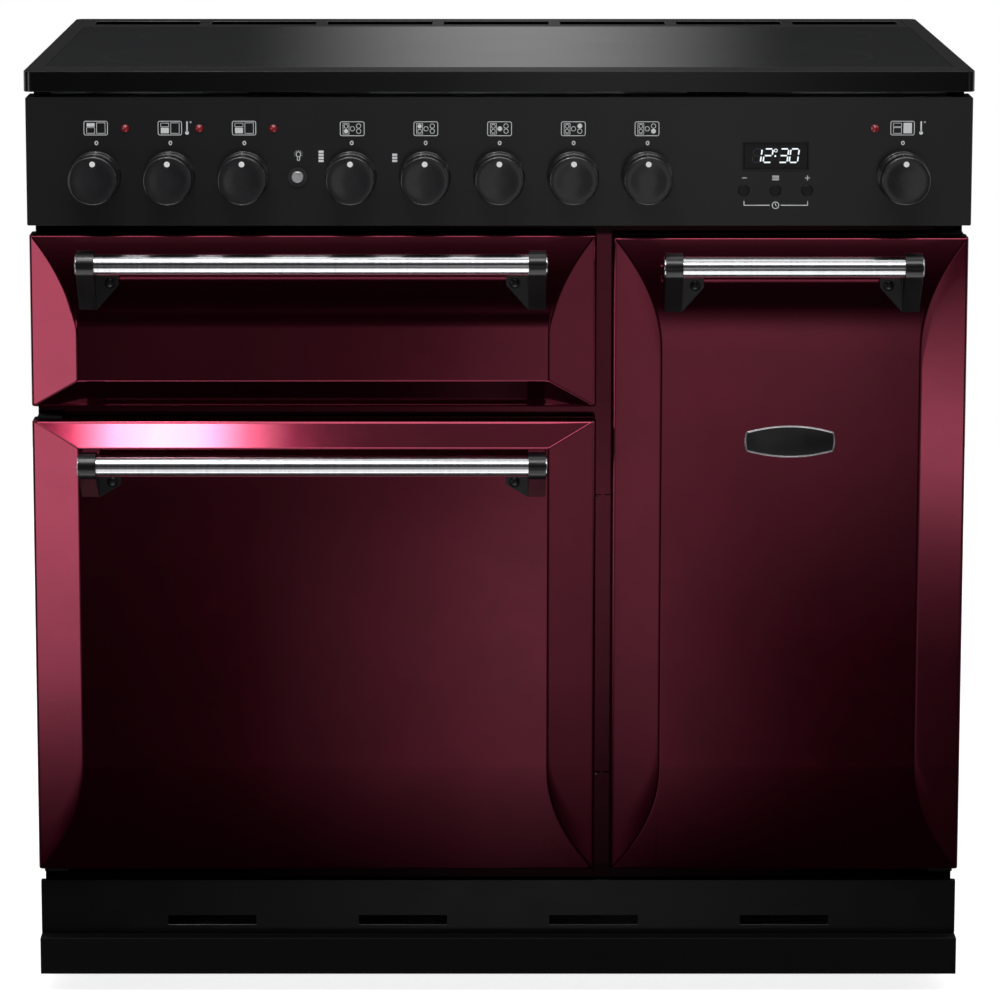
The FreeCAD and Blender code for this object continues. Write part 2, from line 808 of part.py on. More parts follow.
KNOBS = [
    ("knob_grill", "-oven_knob_place"),
    ("knob_main_oven_temperature", "-oven_knob_place + knob_pitch"),
    ("knob_main_oven_function", "-oven_knob_place + knob_pitch * 2"),
    ("knob_hob_left_front", "-knob_pitch * 2"),
    ("knob_hob_left_rear", "-knob_pitch"),
    ("knob_hob_centre", "0"),
    ("knob_hob_right_rear", "knob_pitch"),
    ("knob_hob_right_front", "knob_pitch * 2"),
    ("knob_tall_oven", "oven_knob_place"),
]
NEONS = [
    "-oven_knob_place + neon_offset",
    "-oven_knob_place + knob_pitch + neon_offset",
    "-oven_knob_place + knob_pitch * 2 + neon_offset",
    "oven_knob_place - neon_right_offset",
]
CLOCK_BUTTONS = [
    ("clock_button_minus", "clock_place - clock_button_pitch"),
    ("clock_button_select", "clock_place"),
    ("clock_button_plus", "clock_place + clock_button_pitch"),
]
control_panel()


def knob(name, place):
    """A turned knob: a skirt by the panel, a stepped body and a rounded cap, bored for its spindle."""
    outline = [
        ("0", "-knob_reach"),
        ("knob_cap_radius - knob_round", "-knob_reach"),
        ("knob_cap_radius", "-knob_reach + knob_round", "knob_round", 1),
        ("knob_cap_radius", "-knob_step"),
        ("knob_step_radius", "-knob_step"),
        ("knob_step_radius", "-knob_skirt"),
        ("knob_skirt_radius", "-knob_skirt"),
        ("knob_skirt_radius", "-clearance"),
        ("spindle_collar_radius + clearance", "-clearance"),
        ("spindle_collar_radius + clearance", "-knob_skirt"),
        ("spindle_radius + running_fit", "-knob_skirt"),
        ("spindle_radius + running_fit", "-spindle_reach - clearance"),
        ("0", "-spindle_reach - clearance"),
    ]
    return finish(turned(name, outline, (place, "panel_y", "knob_z")))


for knob_name, knob_place in KNOBS:
    knob(knob_name, knob_place)


def control_switches():
    """Nine rotary switches with their spindles, and the push switch with its bezel."""
    pieces = []
    for number_of, (_, place) in enumerate(KNOBS):
        back = "panel_y + panel_sheet"
        case = box(
            f"switch_case_{number_of}", (f"{place} - switch_half", f"{place} + switch_half"),
            (back, f"{back} + switch_depth"), ("knob_z - switch_half", "knob_z + switch_half"),
        )
        collar = rod(f"switch_collar_{number_of}", "y", "spindle_collar_radius",
                     (place, "panel_y - knob_skirt + clearance", "knob_z"), "knob_skirt + panel_sheet")
        spindle = rod(f"switch_spindle_{number_of}", "y", "spindle_radius",
                      (place, "panel_y - spindle_reach", "knob_z"), "spindle_reach + panel_sheet")
        pieces.append(fuse(f"switch_{number_of}", [case, collar, spindle]))
    bezel = rod("light_bezel_ring", "y", "light_bezel_radius",
                ("-light_place", "panel_y - light_bezel_reach", "knob_z"), "light_bezel_reach")
    eye = rod("light_bezel_eye", "y", "light_radius + clearance",
              ("-light_place", "panel_y - light_bezel_reach - cut_margin", "knob_z"),
              "light_bezel_reach + cut_margin * 2")
    pieces.append(cut("light_bezel", bezel, [eye]))
    start = "panel_y + light_switch_depth"
    case = box("light_switch_case", ("-light_place - switch_half / 2", "-light_place + switch_half / 2"),
               (start, start + " + switch_half"), ("knob_z - switch_half / 2", "knob_z + switch_half / 2"))
    ear = box("light_switch_ear", ("-light_place - switch_half / 2", "-light_place + switch_half / 2"),
              ("panel_y + panel_sheet", start + " + switch_half"),
              ("knob_z + light_radius + clearance * 2", "knob_z + switch_half / 2"))
    bore = rod("light_switch_bore", "y", "light_stem_radius + running_fit",
               ("-light_place", start + " - cut_margin", "knob_z"), "cut_margin + switch_half / 2")
    pieces.append(cut("light_switch", fuse("light_switch_body", [case, ear]), [bore]))
    return finish(group("control_switches", pieces))


control_switches()


def oven_light_button():
    """A domed metal button on a stem that runs in its switch."""
    outline = [
        ("0", "-light_reach"),
        ("light_radius - clearance", "-light_reach"),
        ("light_radius", "-light_reach + clearance", "clearance", 1),
        ("light_radius", "panel_sheet * 2"),
        ("light_stem_radius", "panel_sheet * 2"),
        ("light_stem_radius", "light_switch_depth + light_stem_grip"),
        ("0", "light_switch_depth + light_stem_grip"),
    ]
    return finish(turned("oven_light_button", outline, ("-light_place", "panel_y", "knob_z")))


oven_light_button()


def clock_buttons():
    """Three flush buttons on stems that run in the clock's box."""
    front = "clock_button_sink"
    tip = "clock_button_length + clock_box_margin"
    for name, place in CLOCK_BUTTONS:
        outline = [
            ("0", front), ("clock_button_radius", front), ("clock_button_radius", "clock_button_length"),
            ("clock_button_stem", "clock_button_length"), ("clock_button_stem", tip), ("0", tip),
        ]
        finish(turned(name, outline, (place, "panel_y", "clock_button_z")))


clock_buttons()


def clock_module():
    """The clock's box behind the panel, its window and the lip round the window."""
    low_z = "clock_button_z - clock_button_radius - clock_box_margin"
    high_z = "clock_z + clock_height / 2 + clock_box_margin"
    span = ("clock_place - clock_button_pitch - clock_button_radius - clock_box_margin",
            "clock_place + clock_button_pitch + clock_button_radius + clock_box_margin")
    start = "panel_y + clock_button_length + clock_button_room"
    case = box("clock_case", span, (start, start + " + clock_box_depth"), (low_z, high_z))
    bores = [
        rod(f"clock_bore_{count}", "y", "clock_button_stem + running_fit",
            (place, start + " - cut_margin", "clock_button_z"), "cut_margin + clock_box_depth / 2")
        for count, (_, place) in enumerate(CLOCK_BUTTONS)
    ]
    window_x = ("clock_place - clock_width / 2 + clearance", "clock_place + clock_width / 2 - clearance")
    window_z = ("clock_z - clock_height / 2 + clearance", "clock_z + clock_height / 2 - clearance")
    window = box("clock_window", window_x, ("panel_y", start), window_z)
    lip = frame_ring("clock_lip", "clock_place", "clock_z", "clock_width", "clock_height", "clock_lip",
                     ("panel_y - clock_lip_reach", "panel_y"))
    body = fuse("clock_body", [cut("clock_box", case, bores), window])
    return finish(group("clock_module", [body, lip]))


clock_module()


# Hob
def hob_frame():
    """The enamelled surround: a top ring with a skirt, a seat for the glass and the vent's mouth."""
    body = body_of("hob_frame")
    outline = rounded_rectangle(("-hob_x", "hob_x"), ("hob_y", "back_y"), "hob_corner")
    pad(body, "XY_Plane", [outline], "hob_z0", "hob_z1")
    under = rectangle(("-hob_x + hob_skirt", "hob_x - hob_skirt"),
                      ("hob_y + hob_skirt", "back_y - hob_skirt"))
    pocket(body, "XY_Plane", [under], "hob_z0 - cut_margin", "hob_z1 - hob_top")
    seat = rectangle(("-glass_x - clearance", "glass_x + clearance"),
                     ("glass_y0 - clearance", "glass_y1 + clearance"))
    pocket(body, "XY_Plane", [seat], "glass_z0", "hob_z1")
    mouth = rectangle(("-glass_x + glass_seat", "glass_x - glass_seat"),
                      ("glass_y0 + glass_seat", "glass_y1 - glass_seat"))
    vent = rectangle(("-glass_x", "glass_x"), ("vent_y0", "vent_y1"))
    pocket(body, "XY_Plane", [mouth, vent], "hob_z0", "hob_z1")
    return finish(body)


hob_frame()


def hob_glass():
    """The ceramic glass, lying in its seat."""
    return finish(box("hob_glass", ("-glass_x", "glass_x"), ("glass_y0", "glass_y1"), ("glass_z0", "hob_z1")))


hob_glass()


def vent_deck():
    """The louvred rear deck: a shallow tray with seven slots through it."""
    body = body_of("vent_deck")
    span = ("-glass_x + clearance", "glass_x - clearance")
    depth = ("vent_y0 + clearance", "vent_y1 - clearance")
    pad(body, "XY_Plane", [rectangle(span, depth)], "hob_z1 - vent_drop", "hob_z1")
    under = rectangle((span[0] + " + vent_sheet", span[1] + " - vent_sheet"),
                      (depth[0] + " + vent_sheet", depth[1] + " - vent_sheet"))
    pocket(body, "XY_Plane", [under], "hob_z1 - vent_drop - cut_margin", "hob_z1 - vent_sheet")
    middle_y = "(vent_y0 + vent_y1) / 2"
    slots = []
    for step in spread(VENT_SLOTS):
        middle = f"vent_slot_pitch * ({step})"
        slots.append(rectangle(
            (f"{middle} - vent_slot_width / 2", f"{middle} + vent_slot_width / 2"),
            (f"{middle_y} - vent_slot_depth / 2", f"{middle_y} + vent_slot_depth / 2"),
        ))
    pocket(body, "XY_Plane", slots, "hob_z1 - vent_sheet", "hob_z1")
    return finish(body)


vent_deck()


def induction_coils():
    """Five wound coils on flat formers, just under the glass."""
    coils = []
    middle_y = "(glass_y0 + glass_y1) / 2"
    for name, place_x, place_y, radius in (
        ("left_front", "-coil_offset", f"{middle_y} - coil_row", "medium_coil"),
        ("left_rear", "-coil_offset", f"{middle_y} + coil_row", "small_coil"),
        ("centre", "0", middle_y, "large_coil"),
        ("right_rear", "coil_offset", f"{middle_y} + coil_row", "medium_coil"),
        ("right_front", "coil_offset", f"{middle_y} - coil_row", "small_coil"),
    ):
        former = rod(f"coil_former_{name}", "z", radius, (place_x, place_y, "coil_z"), "coil_former")
        winding = rod(f"coil_winding_{name}", "z", f"{radius} - coil_former",
                      (place_x, place_y, "coil_z + coil_former"), "coil_winding")
        eye = rod(f"coil_eye_{name}", "z", "coil_eye",
                  (place_x, place_y, "coil_z + coil_former"), "coil_winding + cut_margin")
        coils.append(cut(f"coil_{name}", fuse(f"coil_blank_{name}", [former, winding]), [eye]))
    return finish(group("induction_coils", coils))


induction_coils()


def coil_tray():
    """The aluminium tray under the coils, open front and back, hung from both sides of the case."""
    span = ("-tray_x", "tray_x")
    depth = ("tray_y0", "tray_y1")
    rise = ("tray_z0", "coil_z")
    tray = shell("coil_tray_box", span, depth, rise, "tray_sheet", "y", "y")
    hangers = [
        box(f"coil_tray_hanger_{side}", hanger, depth,
            ("coil_z - tray_hanger", "coil_z - tray_hanger + tray_sheet"))
        for side, hanger in (
            ("left", ("-case_in_x + clearance", "-tray_x + tray_sheet / 2")),
            ("right", ("tray_x - tray_sheet / 2", "case_in_x - clearance")),
        )
    ]
    return fuse("coil_tray", [tray] + hangers)


def power_boards():
    """Two circuit boards with finned heat sinks, on posts in the coil tray."""
    boards = []
    middle_y = "(tray_y0 + tray_y1) / 2"
    floor = "tray_z0 + tray_sheet"
    for side, name in (("-", "left"), ("", "right")):
        centre = f"{side}board_offset"
        board = box(f"board_{name}", (f"{centre} - board_width / 2", f"{centre} + board_width / 2"),
                    (f"{middle_y} - board_length / 2", f"{middle_y} + board_length / 2"),
                    (f"{floor} + board_rise", f"{floor} + board_rise + board_sheet"))
        posts = []
        for way_x in ("-", "+"):
            for way_y in ("-", "+"):
                start = (f"{centre} {way_x} board_width * board_post_share",
                         f"{middle_y} {way_y} board_length * board_post_share", floor)
                posts.append(rod(f"board_post_{name}", "z", "board_rise / 2", start,
                                 "board_rise + board_sheet / 2"))
        sink = box(f"heat_sink_{name}", (f"{centre} - sink_width / 2", f"{centre} + sink_width / 2"),
                   (f"{middle_y} - sink_length / 2", f"{middle_y} + sink_length / 2"),
                   (f"{floor} + board_rise + board_sheet / 2", f"{floor} + board_rise + sink_height"))
        grooves = [
            box(f"heat_sink_groove_{name}",
                (f"{centre} + sink_width * {share} - board_sheet",
                 f"{centre} + sink_width * {share} + board_sheet"),
                (f"{middle_y} - board_length", f"{middle_y} + board_length"),
                (f"{floor} + board_rise + sink_height / 2",
                 f"{floor} + board_rise + sink_height + cut_margin"))
            for share in FIN_SHARES
        ]
        boards.append(fuse(f"power_board_{name}", [board, cut(f"finned_sink_{name}", sink, grooves)] + posts))
    return boards


FIN_SHARES = (-0.36, -0.18, 0.0, 0.18, 0.36)
finish(group("power_tray", [coil_tray()] + power_boards()))


# Ovens
def cavity(name, centre_x, centre_z, width, height, depth, shaft):
    """An enamelled oven box with a flange behind the front frame and, with a fan, a hole for its shaft."""
    sheet_of = "cavity_sheet"
    x = (f"{centre_x} - {width} / 2 - {sheet_of}", f"{centre_x} + {width} / 2 + {sheet_of}")
    z = (f"{centre_z} - {height} / 2 - {sheet_of}", f"{centre_z} + {height} / 2 + {sheet_of}")
    hollow = shell(name + "_walls", x, ("inner_y", f"frame_y + {depth} + {sheet_of}"), z, sheet_of, "y")
    flange = frame_ring(name + "_flange", centre_x, centre_z, width, height, "cavity_flange",
                        ("inner_y", f"inner_y + {sheet_of}"))
    if not shaft:
        return finish(fuse(name, [hollow, flange]))
    hole = rod(name + "_shaft_hole", "y", "shaft_hole",
               (centre_x, f"frame_y + {depth} - cut_margin", centre_z), "cut_margin * 2")
    return finish(cut(name, fuse(name + "_box", [hollow, flange]), [hole]))


OVENS = [
    ("grill_cavity", "main_cavity_x", "grill_cavity_z", "left_cavity_width", "grill_cavity_height",
     "grill_depth", False),
    ("main_oven_cavity", "main_cavity_x", "main_cavity_z", "left_cavity_width", "main_cavity_height",
     "oven_depth", True),
    ("tall_oven_cavity", "tall_cavity_x", "tall_cavity_z", "right_cavity_width", "tall_cavity_height",
     "oven_depth", True),
]
for oven in OVENS:
    cavity(*oven)


def insulation():
    """A blanket of mineral wool round each oven box, with a hole for the fan's shaft and motor boss."""
    blankets = []
    for name, centre_x, centre_z, width, height, depth, shaft in OVENS:
        skin = "cavity_sheet"
        x = (f"{centre_x} - {width} / 2 - {skin} - wool", f"{centre_x} + {width} / 2 + {skin} + wool")
        z = (f"{centre_z} - {height} / 2 - {skin} - wool", f"{centre_z} + {height} / 2 + {skin} + wool")
        y = ("inner_y + wool_front_gap", f"frame_y + {depth} + {skin} + wool")
        blanket = shell(name + "_wool", x, y, z, "wool", "y")
        if shaft:
            hole = rod(name + "_wool_hole", "y", "shaft_hole + motor_boss",
                       (centre_x, f"frame_y + {depth} - cut_margin", centre_z), "wool + cut_margin * 2")
            blanket = cut(name + "_blanket", blanket, [hole])
        blankets.append(blanket)
    return finish(group("insulation", blankets))


insulation()


def door_seals():
    """A woven seal round each oven mouth, on the front frame; the drop-down door's has no lower run."""
    seals = []
    for name, centre_x, centre_z, width, height, _, shaft in OVENS:
        inner_width = f"({width} + seal_offset * 2)"
        inner_height = f"({height} + seal_offset * 2)"
        seal = frame_ring(name + "_seal", centre_x, centre_z, inner_width, inner_height,
                          "seal_width", ("liner_y + clearance", "frame_y"))
        if not shaft:
            below = box(name + "_seal_end", (f"{centre_x} - {width}", f"{centre_x} + {width}"),
                        ("liner_y", "frame_y + cut_margin"),
                        (f"{centre_z} - {height}", f"{centre_z} - {height} / 2"))
            seal = cut(name + "_seal_round_top", seal, [below])
        seals.append(seal)
    return finish(group("door_seals", seals))


door_seals()


# Fans, motors, baffles and elements
def fan(name, place, radius, depth, back):
    """A radial fan wheel on its shaft: a disc, a hub and twelve blades facing the front."""
    body = body_of(name)
    pad(body, "XZ_Plane", [("0", "0", radius)], "0", "fan_disc")
    pad(body, "XZ_Plane", [("0", "0", "fan_hub_radius")], f"-({depth})", "0")
    blade = pad(body, "XZ_Plane", [rectangle((f"{radius} * fan_blade_share", f"{radius} - fan_disc"),
                                             ("-fan_blade_sheet / 2", "fan_blade_sheet / 2"))],
                f"-({depth})", "fan_disc / 2")
    blades = body.newObject("PartDesign::PolarPattern", name + "_blades")
    blades.Originals = [blade]
    blades.Axis = (blade.Profile[0], ["N_Axis"])
    blades.Angle = 360
    blades.Occurrences = FAN_BLADES
    body.Tip = blades
    pad(body, "XZ_Plane", [("0", "0", "fan_shaft_radius")], "0", back)
    for way, where in zip("xyz", place):
        bind(body, f"Placement.Base.{way}", where)
    return finish(body)


MOTOR_FACE = "oven_back_y + cavity_sheet + wool + clearance"
for fan_name, fan_x, fan_z in (
    ("main_oven_fan", "main_cavity_x", "main_cavity_z"),
    ("tall_oven_fan", "tall_cavity_x", "tall_cavity_z"),
):
    fan(fan_name, (fan_x, "oven_back_y - fan_wall_gap", fan_z), "fan_radius", "fan_blade_depth",
        "fan_wall_gap + cavity_sheet + wool + motor_boss")
fan("cooling_fan", ("0", "cooling_y - fan_wall_gap", "cooling_z"), "cooling_fan_radius",
    "fan_blade_depth / 2", "fan_wall_gap + motor_boss")


def fan_motors():
    """Two oven fan motors behind the wool and the cooling fan's motor on the back panel."""
    motors = []
    for name, place_x, place_z in (("main", "main_cavity_x", "main_cavity_z"),
                                   ("tall", "tall_cavity_x", "tall_cavity_z")):
        can = rod(f"motor_can_{name}", "y", "motor_radius", (place_x, MOTOR_FACE, place_z), "motor_length")
        boss = rod(f"motor_boss_{name}", "y", "motor_boss",
                   (place_x, MOTOR_FACE + " - wool / 2", place_z), "wool / 2 + motor_boss")
        bore = rod(f"motor_bore_{name}", "y", "fan_shaft_radius + running_fit",
                   (place_x, MOTOR_FACE + " - wool", place_z), "wool + motor_boss + cut_margin")
        motors.append(cut(f"motor_{name}", fuse(f"motor_body_{name}", [can, boss]), [bore]))
    can = rod("cooling_motor_can", "y", "cooling_motor_radius", ("0", "cooling_y", "cooling_z"),
              "cooling_motor_length")
    bore = rod("cooling_motor_bore", "y", "fan_shaft_radius + running_fit",
               ("0", "cooling_y - cut_margin", "cooling_z"), "cut_margin * 2 + motor_boss")
    motors.append(cut("cooling_motor", can, [bore]))
    return finish(group("fan_motors", motors))


fan_motors()


def fan_baffles():
    """The perforated plate in front of each oven fan."""
    baffles = []
    for name, centre_x, centre_z, width, height, depth, shaft in OVENS:
        if not shaft:
            continue
        x = (f"{centre_x} - {width} / 2 + clearance", f"{centre_x} + {width} / 2 - clearance")
        half = f"({height} / 2 - baffle_side_gap)"
        z = (f"{centre_z} - {half}", f"{centre_z} + {half}")
        front = f"frame_y + {depth} - baffle_gap"
        plate = box(name + "_baffle_plate", x, (front, f"{front} + baffle_sheet"), z)
        eye = rod(name + "_baffle_eye", "y", "baffle_eye",
                  (centre_x, f"{front} - cut_margin", centre_z), "cut_margin * 2")
        hub = rod(name + "_baffle_hub", "y", "baffle_eye / 2",
                  (centre_x, front, centre_z), "baffle_sheet")
        thick = (front, f"{front} + baffle_sheet")
        reach, slim = "(baffle_eye + baffle_sheet)", "baffle_sheet * 2"
        bars = [
            box(name + "_baffle_bar_level", (f"{centre_x} - {reach}", f"{centre_x} + {reach}"), thick,
                (f"{centre_z} - {slim}", f"{centre_z} + {slim}")),
            box(name + "_baffle_bar_upright", (f"{centre_x} - {slim}", f"{centre_x} + {slim}"), thick,
                (f"{centre_z} - {reach}", f"{centre_z} + {reach}")),
        ]
        pierced = cut(name + "_baffle_pierced", plate, [eye])
        baffles.append(fuse(name + "_baffle", [pierced, hub] + bars))
    return finish(group("fan_baffles", baffles))


fan_baffles()


def heating_elements():
    """A ring element round each oven fan and four grill loops under the grill's roof."""
    elements = []
    wire = "element_radius"
    leg_rise = "sqrt(ring_radius * ring_radius - element_leg_spread * element_leg_spread)"
    for name, place_x, place_z in (("main", "main_cavity_x", "main_cavity_z"),
                                   ("tall", "tall_cavity_x", "tall_cavity_z")):
        middle_y = "oven_back_y - fan_wall_gap - fan_blade_depth / 2"
        hoop = ring(f"element_hoop_{name}", "y", "ring_radius", wire, (place_x, middle_y, place_z))
        legs = [
            rod(f"element_leg_{name}_{way}", "y", "element_ferrule_radius",
                (f"{place_x} {sign} element_leg_spread", f"{middle_y} - element_ferrule_radius",
                 f"{place_z} + {leg_rise}"),
                "fan_wall_gap + fan_blade_depth / 2 - clearance + element_ferrule_radius")
            for way, sign in (("left", "-"), ("right", "+"))
        ]
        elements.append(fuse(f"ring_element_{name}", [hoop] + legs))
    high = "grill_cavity_z + grill_cavity_height / 2 - grill_element_drop"
    for step in spread(GRILL_LOOPS):
        centre = f"main_cavity_x + grill_element_pitch * ({step})"
        turn_y = "grill_back_y - clearance - grill_element_length"
        runs = [
            rod(f"grill_run_{way}", "y", wire, (f"{centre} {sign} grill_element_loop", turn_y, high),
                "grill_element_length")
            for way, sign in (("left", "-"), ("right", "+"))
        ]
        cross = rod("grill_cross", "x", wire, (f"{centre} - grill_element_loop", turn_y, high),
                    "grill_element_loop * 2")
        elements.append(fuse("grill_hairpin", [cross] + runs))
    return finish(group("heating_elements", elements))


heating_elements()


# Racks, shelves, pan and lamps
RUNNER_SHARES = {
    "main_oven_cavity": (0.2, 0.4, 0.6, 0.8),
    "tall_oven_cavity": (0.12, 0.27, 0.42, 0.57, 0.72, 0.87),
}
UPRIGHT_SHARES = (0.06, 0.94)
RACK_FRONT = "frame_y + rack_front_gap"


def shelf_racks():
    """The wire racks on both sides of the two fan ovens, with a runner wire for each shelf place."""
    racks = []
    for name, centre_x, centre_z, width, height, depth, shaft in OVENS:
        if not shaft:
            continue
        for side, sign in (("left", "-"), ("right", "+")):
            towards = "+" if sign == "-" else "-"
            wall = f"({centre_x} {sign} {width} / 2)"
            upright_x = f"{wall} {towards} rack_stand_off"
            runner_x = f"{wall} {towards} rack_runner"
            foot = f"{centre_z} - {height} / 2 + clearance"
            wires = [
                rod("rack_upright", "z", "rack_wire",
                    (upright_x, f"{RACK_FRONT} + rack_length * {share}", foot),
                    f"{height} * rack_height_share")
                for share in UPRIGHT_SHARES
            ]
            for share in RUNNER_SHARES[name]:
                level = f"{centre_z} - {height} / 2 + {height} * {share}"
                wires.append(rod("rack_runner_wire", "y", "runner_wire", (runner_x, RACK_FRONT, level),
                                 "rack_length"))
            racks.append(fuse(f"{name}_rack_{side}", wires))
    return finish(group("shelf_racks", racks))


shelf_racks()


def shelf(name, oven_at, place_share):
    """A wire shelf resting on one pair of runners: a closed frame with rungs from front to back."""
    _, centre_x, centre_z, width, height, _, _ = OVENS[oven_at]
    half = f"({width} / 2 - shelf_side_gap)"
    front = "frame_y + shelf_front_gap"
    level = f"{centre_z} - {height} / 2 + {height} * {place_share} + runner_wire + shelf_wire + clearance"
    wires = []
    for sign in ("-", "+"):
        wires.append(rod("shelf_side", "y", "shelf_wire", (f"{centre_x} {sign} {half}", front, level),
                         "shelf_length"))
    for end in (front, f"{front} + shelf_length"):
        wires.append(rod("shelf_end", "x", "shelf_wire", (f"{centre_x} - {half}", end, level), f"{half} * 2"))
    for sign_x in ("-", "+"):
        for end in (front, f"{front} + shelf_length"):
            joint = doc.addObject("Part::Sphere", "shelf_corner")
            bind(joint, "Radius", "shelf_wire")
            for way, where in zip("xyz", (f"{centre_x} {sign_x} {half}", end, level)):
                bind(joint, f"Placement.Base.{way}", where)
            wires.append(joint)
    rungs = int(number(f"{half} * 2 / shelf_pitch"))
    for count in range(1, rungs):
        place_x = f"{centre_x} - {half} + {half} * 2 * {count} / {rungs}"
        wires.append(rod("shelf_rung_wire", "y", "shelf_rung", (place_x, front, level), "shelf_length"))
    return finish(fuse(name, wires))


shelf("main_oven_shelf", 1, RUNNER_SHARES["main_oven_cavity"][1])
shelf("tall_oven_shelf", 2, RUNNER_SHARES["tall_oven_cavity"][2])


def grill_pan():
    """The enamelled pan on the floor of the grill."""
    floor = "grill_cavity_z - grill_cavity_height / 2 + clearance"
    x = ("main_cavity_x - pan_width / 2", "main_cavity_x + pan_width / 2")
    y = ("frame_y + shelf_front_gap", "frame_y + shelf_front_gap + pan_length")
    return finish(shell("grill_pan", x, y, (floor, floor + " + pan_height"), "pan_sheet", "", "z"))


grill_pan()


def lamps():
    """The four neons in the panel and the lamp in each fan oven's back wall."""
    pieces = []
    for place in NEONS:
        pieces.append(rod("neon", "y", "neon_radius", (place, "panel_y - neon_reach", "neon_z"),
                          "neon_reach + neon_body"))
    for name, centre_x, centre_z, width, height, depth, shaft in OVENS:
        if shaft:
            corner = (f"{centre_x} - {width} / 2 + lamp_radius + baffle_side_gap",
                      f"frame_y + {depth} - clearance - lamp_length",
                      f"{centre_z} + {height} / 2 - lamp_radius - baffle_side_gap")
            pieces.append(rod("oven_lamp", "y", "lamp_radius", corner, "lamp_length"))
    return finish(group("lamps", pieces))


lamps()


# Doors
def door_profile(low, high, bottom, top, inset, back):
    """A door seen from its side, as depth and height; each end is a bevel or a bow of its own length."""
    rim, face = f"rim_y + {inset}", f"face_y + {inset}"
    foot, head = f"{low} + {inset}", f"{high} - {inset}"
    points = [(back, foot), (rim, foot)]
    for kind, length, turn, start, corner in (
        bottom + ("+", foot, low), top + ("-", head, high),
    ):
        reach = (face, f"{corner} {turn} {length}")
        if kind == "bow":
            run = f"({length} - {inset})"
            radius = f"({run} * {run} + door_proud * door_proud) / (door_proud * 2)"
        if turn == "+":
            points.append(reach + ((radius, -1) if kind == "bow" else ()))
        else:
            points.append(reach)
            points.append((rim, start) + ((radius, -1) if kind == "bow" else ()))
    points.append((back, head))
    return points


def door_plan(left, right, inset, back):
    """A door seen from above: flat in the middle with a facet down each side."""
    rim, face = f"rim_y + {inset}", f"face_y + {inset}"
    return [
        (f"{left} + {inset}", back), (f"{left} + {inset}", rim), (f"{left} + door_facet", face),
        (f"{right} - door_facet", face), (f"{right} - {inset}", rim), (f"{right} - {inset}", back),
    ]


def door_form(name, left, right, low, high, bottom, top, inset, back):
    """The door's outer shape, or with an inset its hollow: the side view crossed with the plan."""
    side = body_of(name + "_side")
    pad(side, "YZ_Plane", [door_profile(low, high, bottom, top, inset, back)],
        f"{left} + {inset}", f"{right} - {inset}")
    plan = body_of(name + "_plan")
    pad(plan, "XY_Plane", [door_plan(left, right, inset, back)], low, high)
    form = doc.addObject("Part::Common", name)
    form.Base = side
    form.Tool = plan
    return form


def door_panel(name, form, hollow, reliefs):
    """The pressed outer panel of a door."""
    return finish(cut(name, form, [hollow] + reliefs))


def handle(door, form, left, length, bar_y, bar_z, foot_drop):
    """A round bar held by two collars, each on a leg with a screwed lug beside it."""
    finish(rod(f"{door}_handle_bar", "x", "bar_radius", (left, bar_y, bar_z), length))
    sides = []
    for end in ("left", "right"):
        inward = 1 if end == "left" else -1
        edge = f"({left} + collar_inset)" if inward > 0 else f"({left} + {length} - collar_inset)"
        near, far = (edge, f"{edge} + collar_width") if inward > 0 else (f"{edge} - collar_width", edge)
        lug_edge, lug_tip = (far, f"{far} + lug_width") if inward > 0 else (near, f"{near} - lug_width")
        collar = rod(f"{door}_collar_{end}", "x", "collar_radius", (near, bar_y, bar_z), "collar_width")
        leg = body_of(f"{door}_leg_{end}")
        pad(leg, "YZ_Plane", [[
            (f"{bar_y} - collar_radius * leg_front_share", f"{bar_z} - collar_radius * leg_side_share"),
            ("face_y - lug_thickness * leg_front_share", f"{bar_z} - {foot_drop}"),
            ("rim_y", f"{bar_z} - {foot_drop}"),
            ("rim_y", bar_z),
            (f"{bar_y} + collar_radius * leg_front_share", f"{bar_z} + collar_radius * leg_side_share"),
        ]], near, far)
        lug = body_of(f"{door}_lug_{end}")
        lug_top = f"{bar_z} - collar_radius"
        outline = [
            (lug_edge, f"{bar_z} - {foot_drop}"), (lug_tip, f"{lug_top} - lug_height"),
            (lug_tip, lug_top), (lug_edge, lug_top),
        ]
        pad(lug, "XZ_Plane", [outline], "face_y - lug_thickness", "rim_y")
        screw_x = f"{lug_edge} {'+' if inward > 0 else '-'} lug_width * lug_screw_share"
        screw_z = f"{lug_top} - lug_screw_radius - lug_screw_depth"
        recess = rod(f"{door}_screw_{end}", "y", "lug_screw_radius",
                     (screw_x, "face_y - lug_thickness - cut_margin", screw_z),
                     "cut_margin + lug_screw_depth")
        blank = fuse(f"{door}_bracket_blank_{end}", [collar, leg, lug])
        solid = cut(f"{door}_bracket_solid_{end}", blank, [recess])
        bore = rod(f"{door}_collar_bore_{end}", "x", "bar_radius", (f"{near} - cut_margin", bar_y, bar_z),
                   "collar_width + cut_margin * 2")
        sides.append(cut(f"{door}_bracket_{end}", solid, [bore, form]))
    return finish(group(f"{door}_handle_brackets", sides))


def door_liner(door, left, right, low, high, extras, reliefs):
    """The flat inner plate that closes the back of a door, with what its hinges turn in."""
    rim = "(door_wall + clearance)"
    plate = box(f"{door}_liner_plate", (f"{left} + {rim}", f"{right} - {rim}"),
                ("liner_y - liner_sheet", "liner_y"), (f"{low} + {rim}", f"{high} - {rim}"))
    base = fuse(f"{door}_liner_blank", [plate] + extras) if extras else plate
    return finish(cut(f"{door}_liner", base, reliefs))


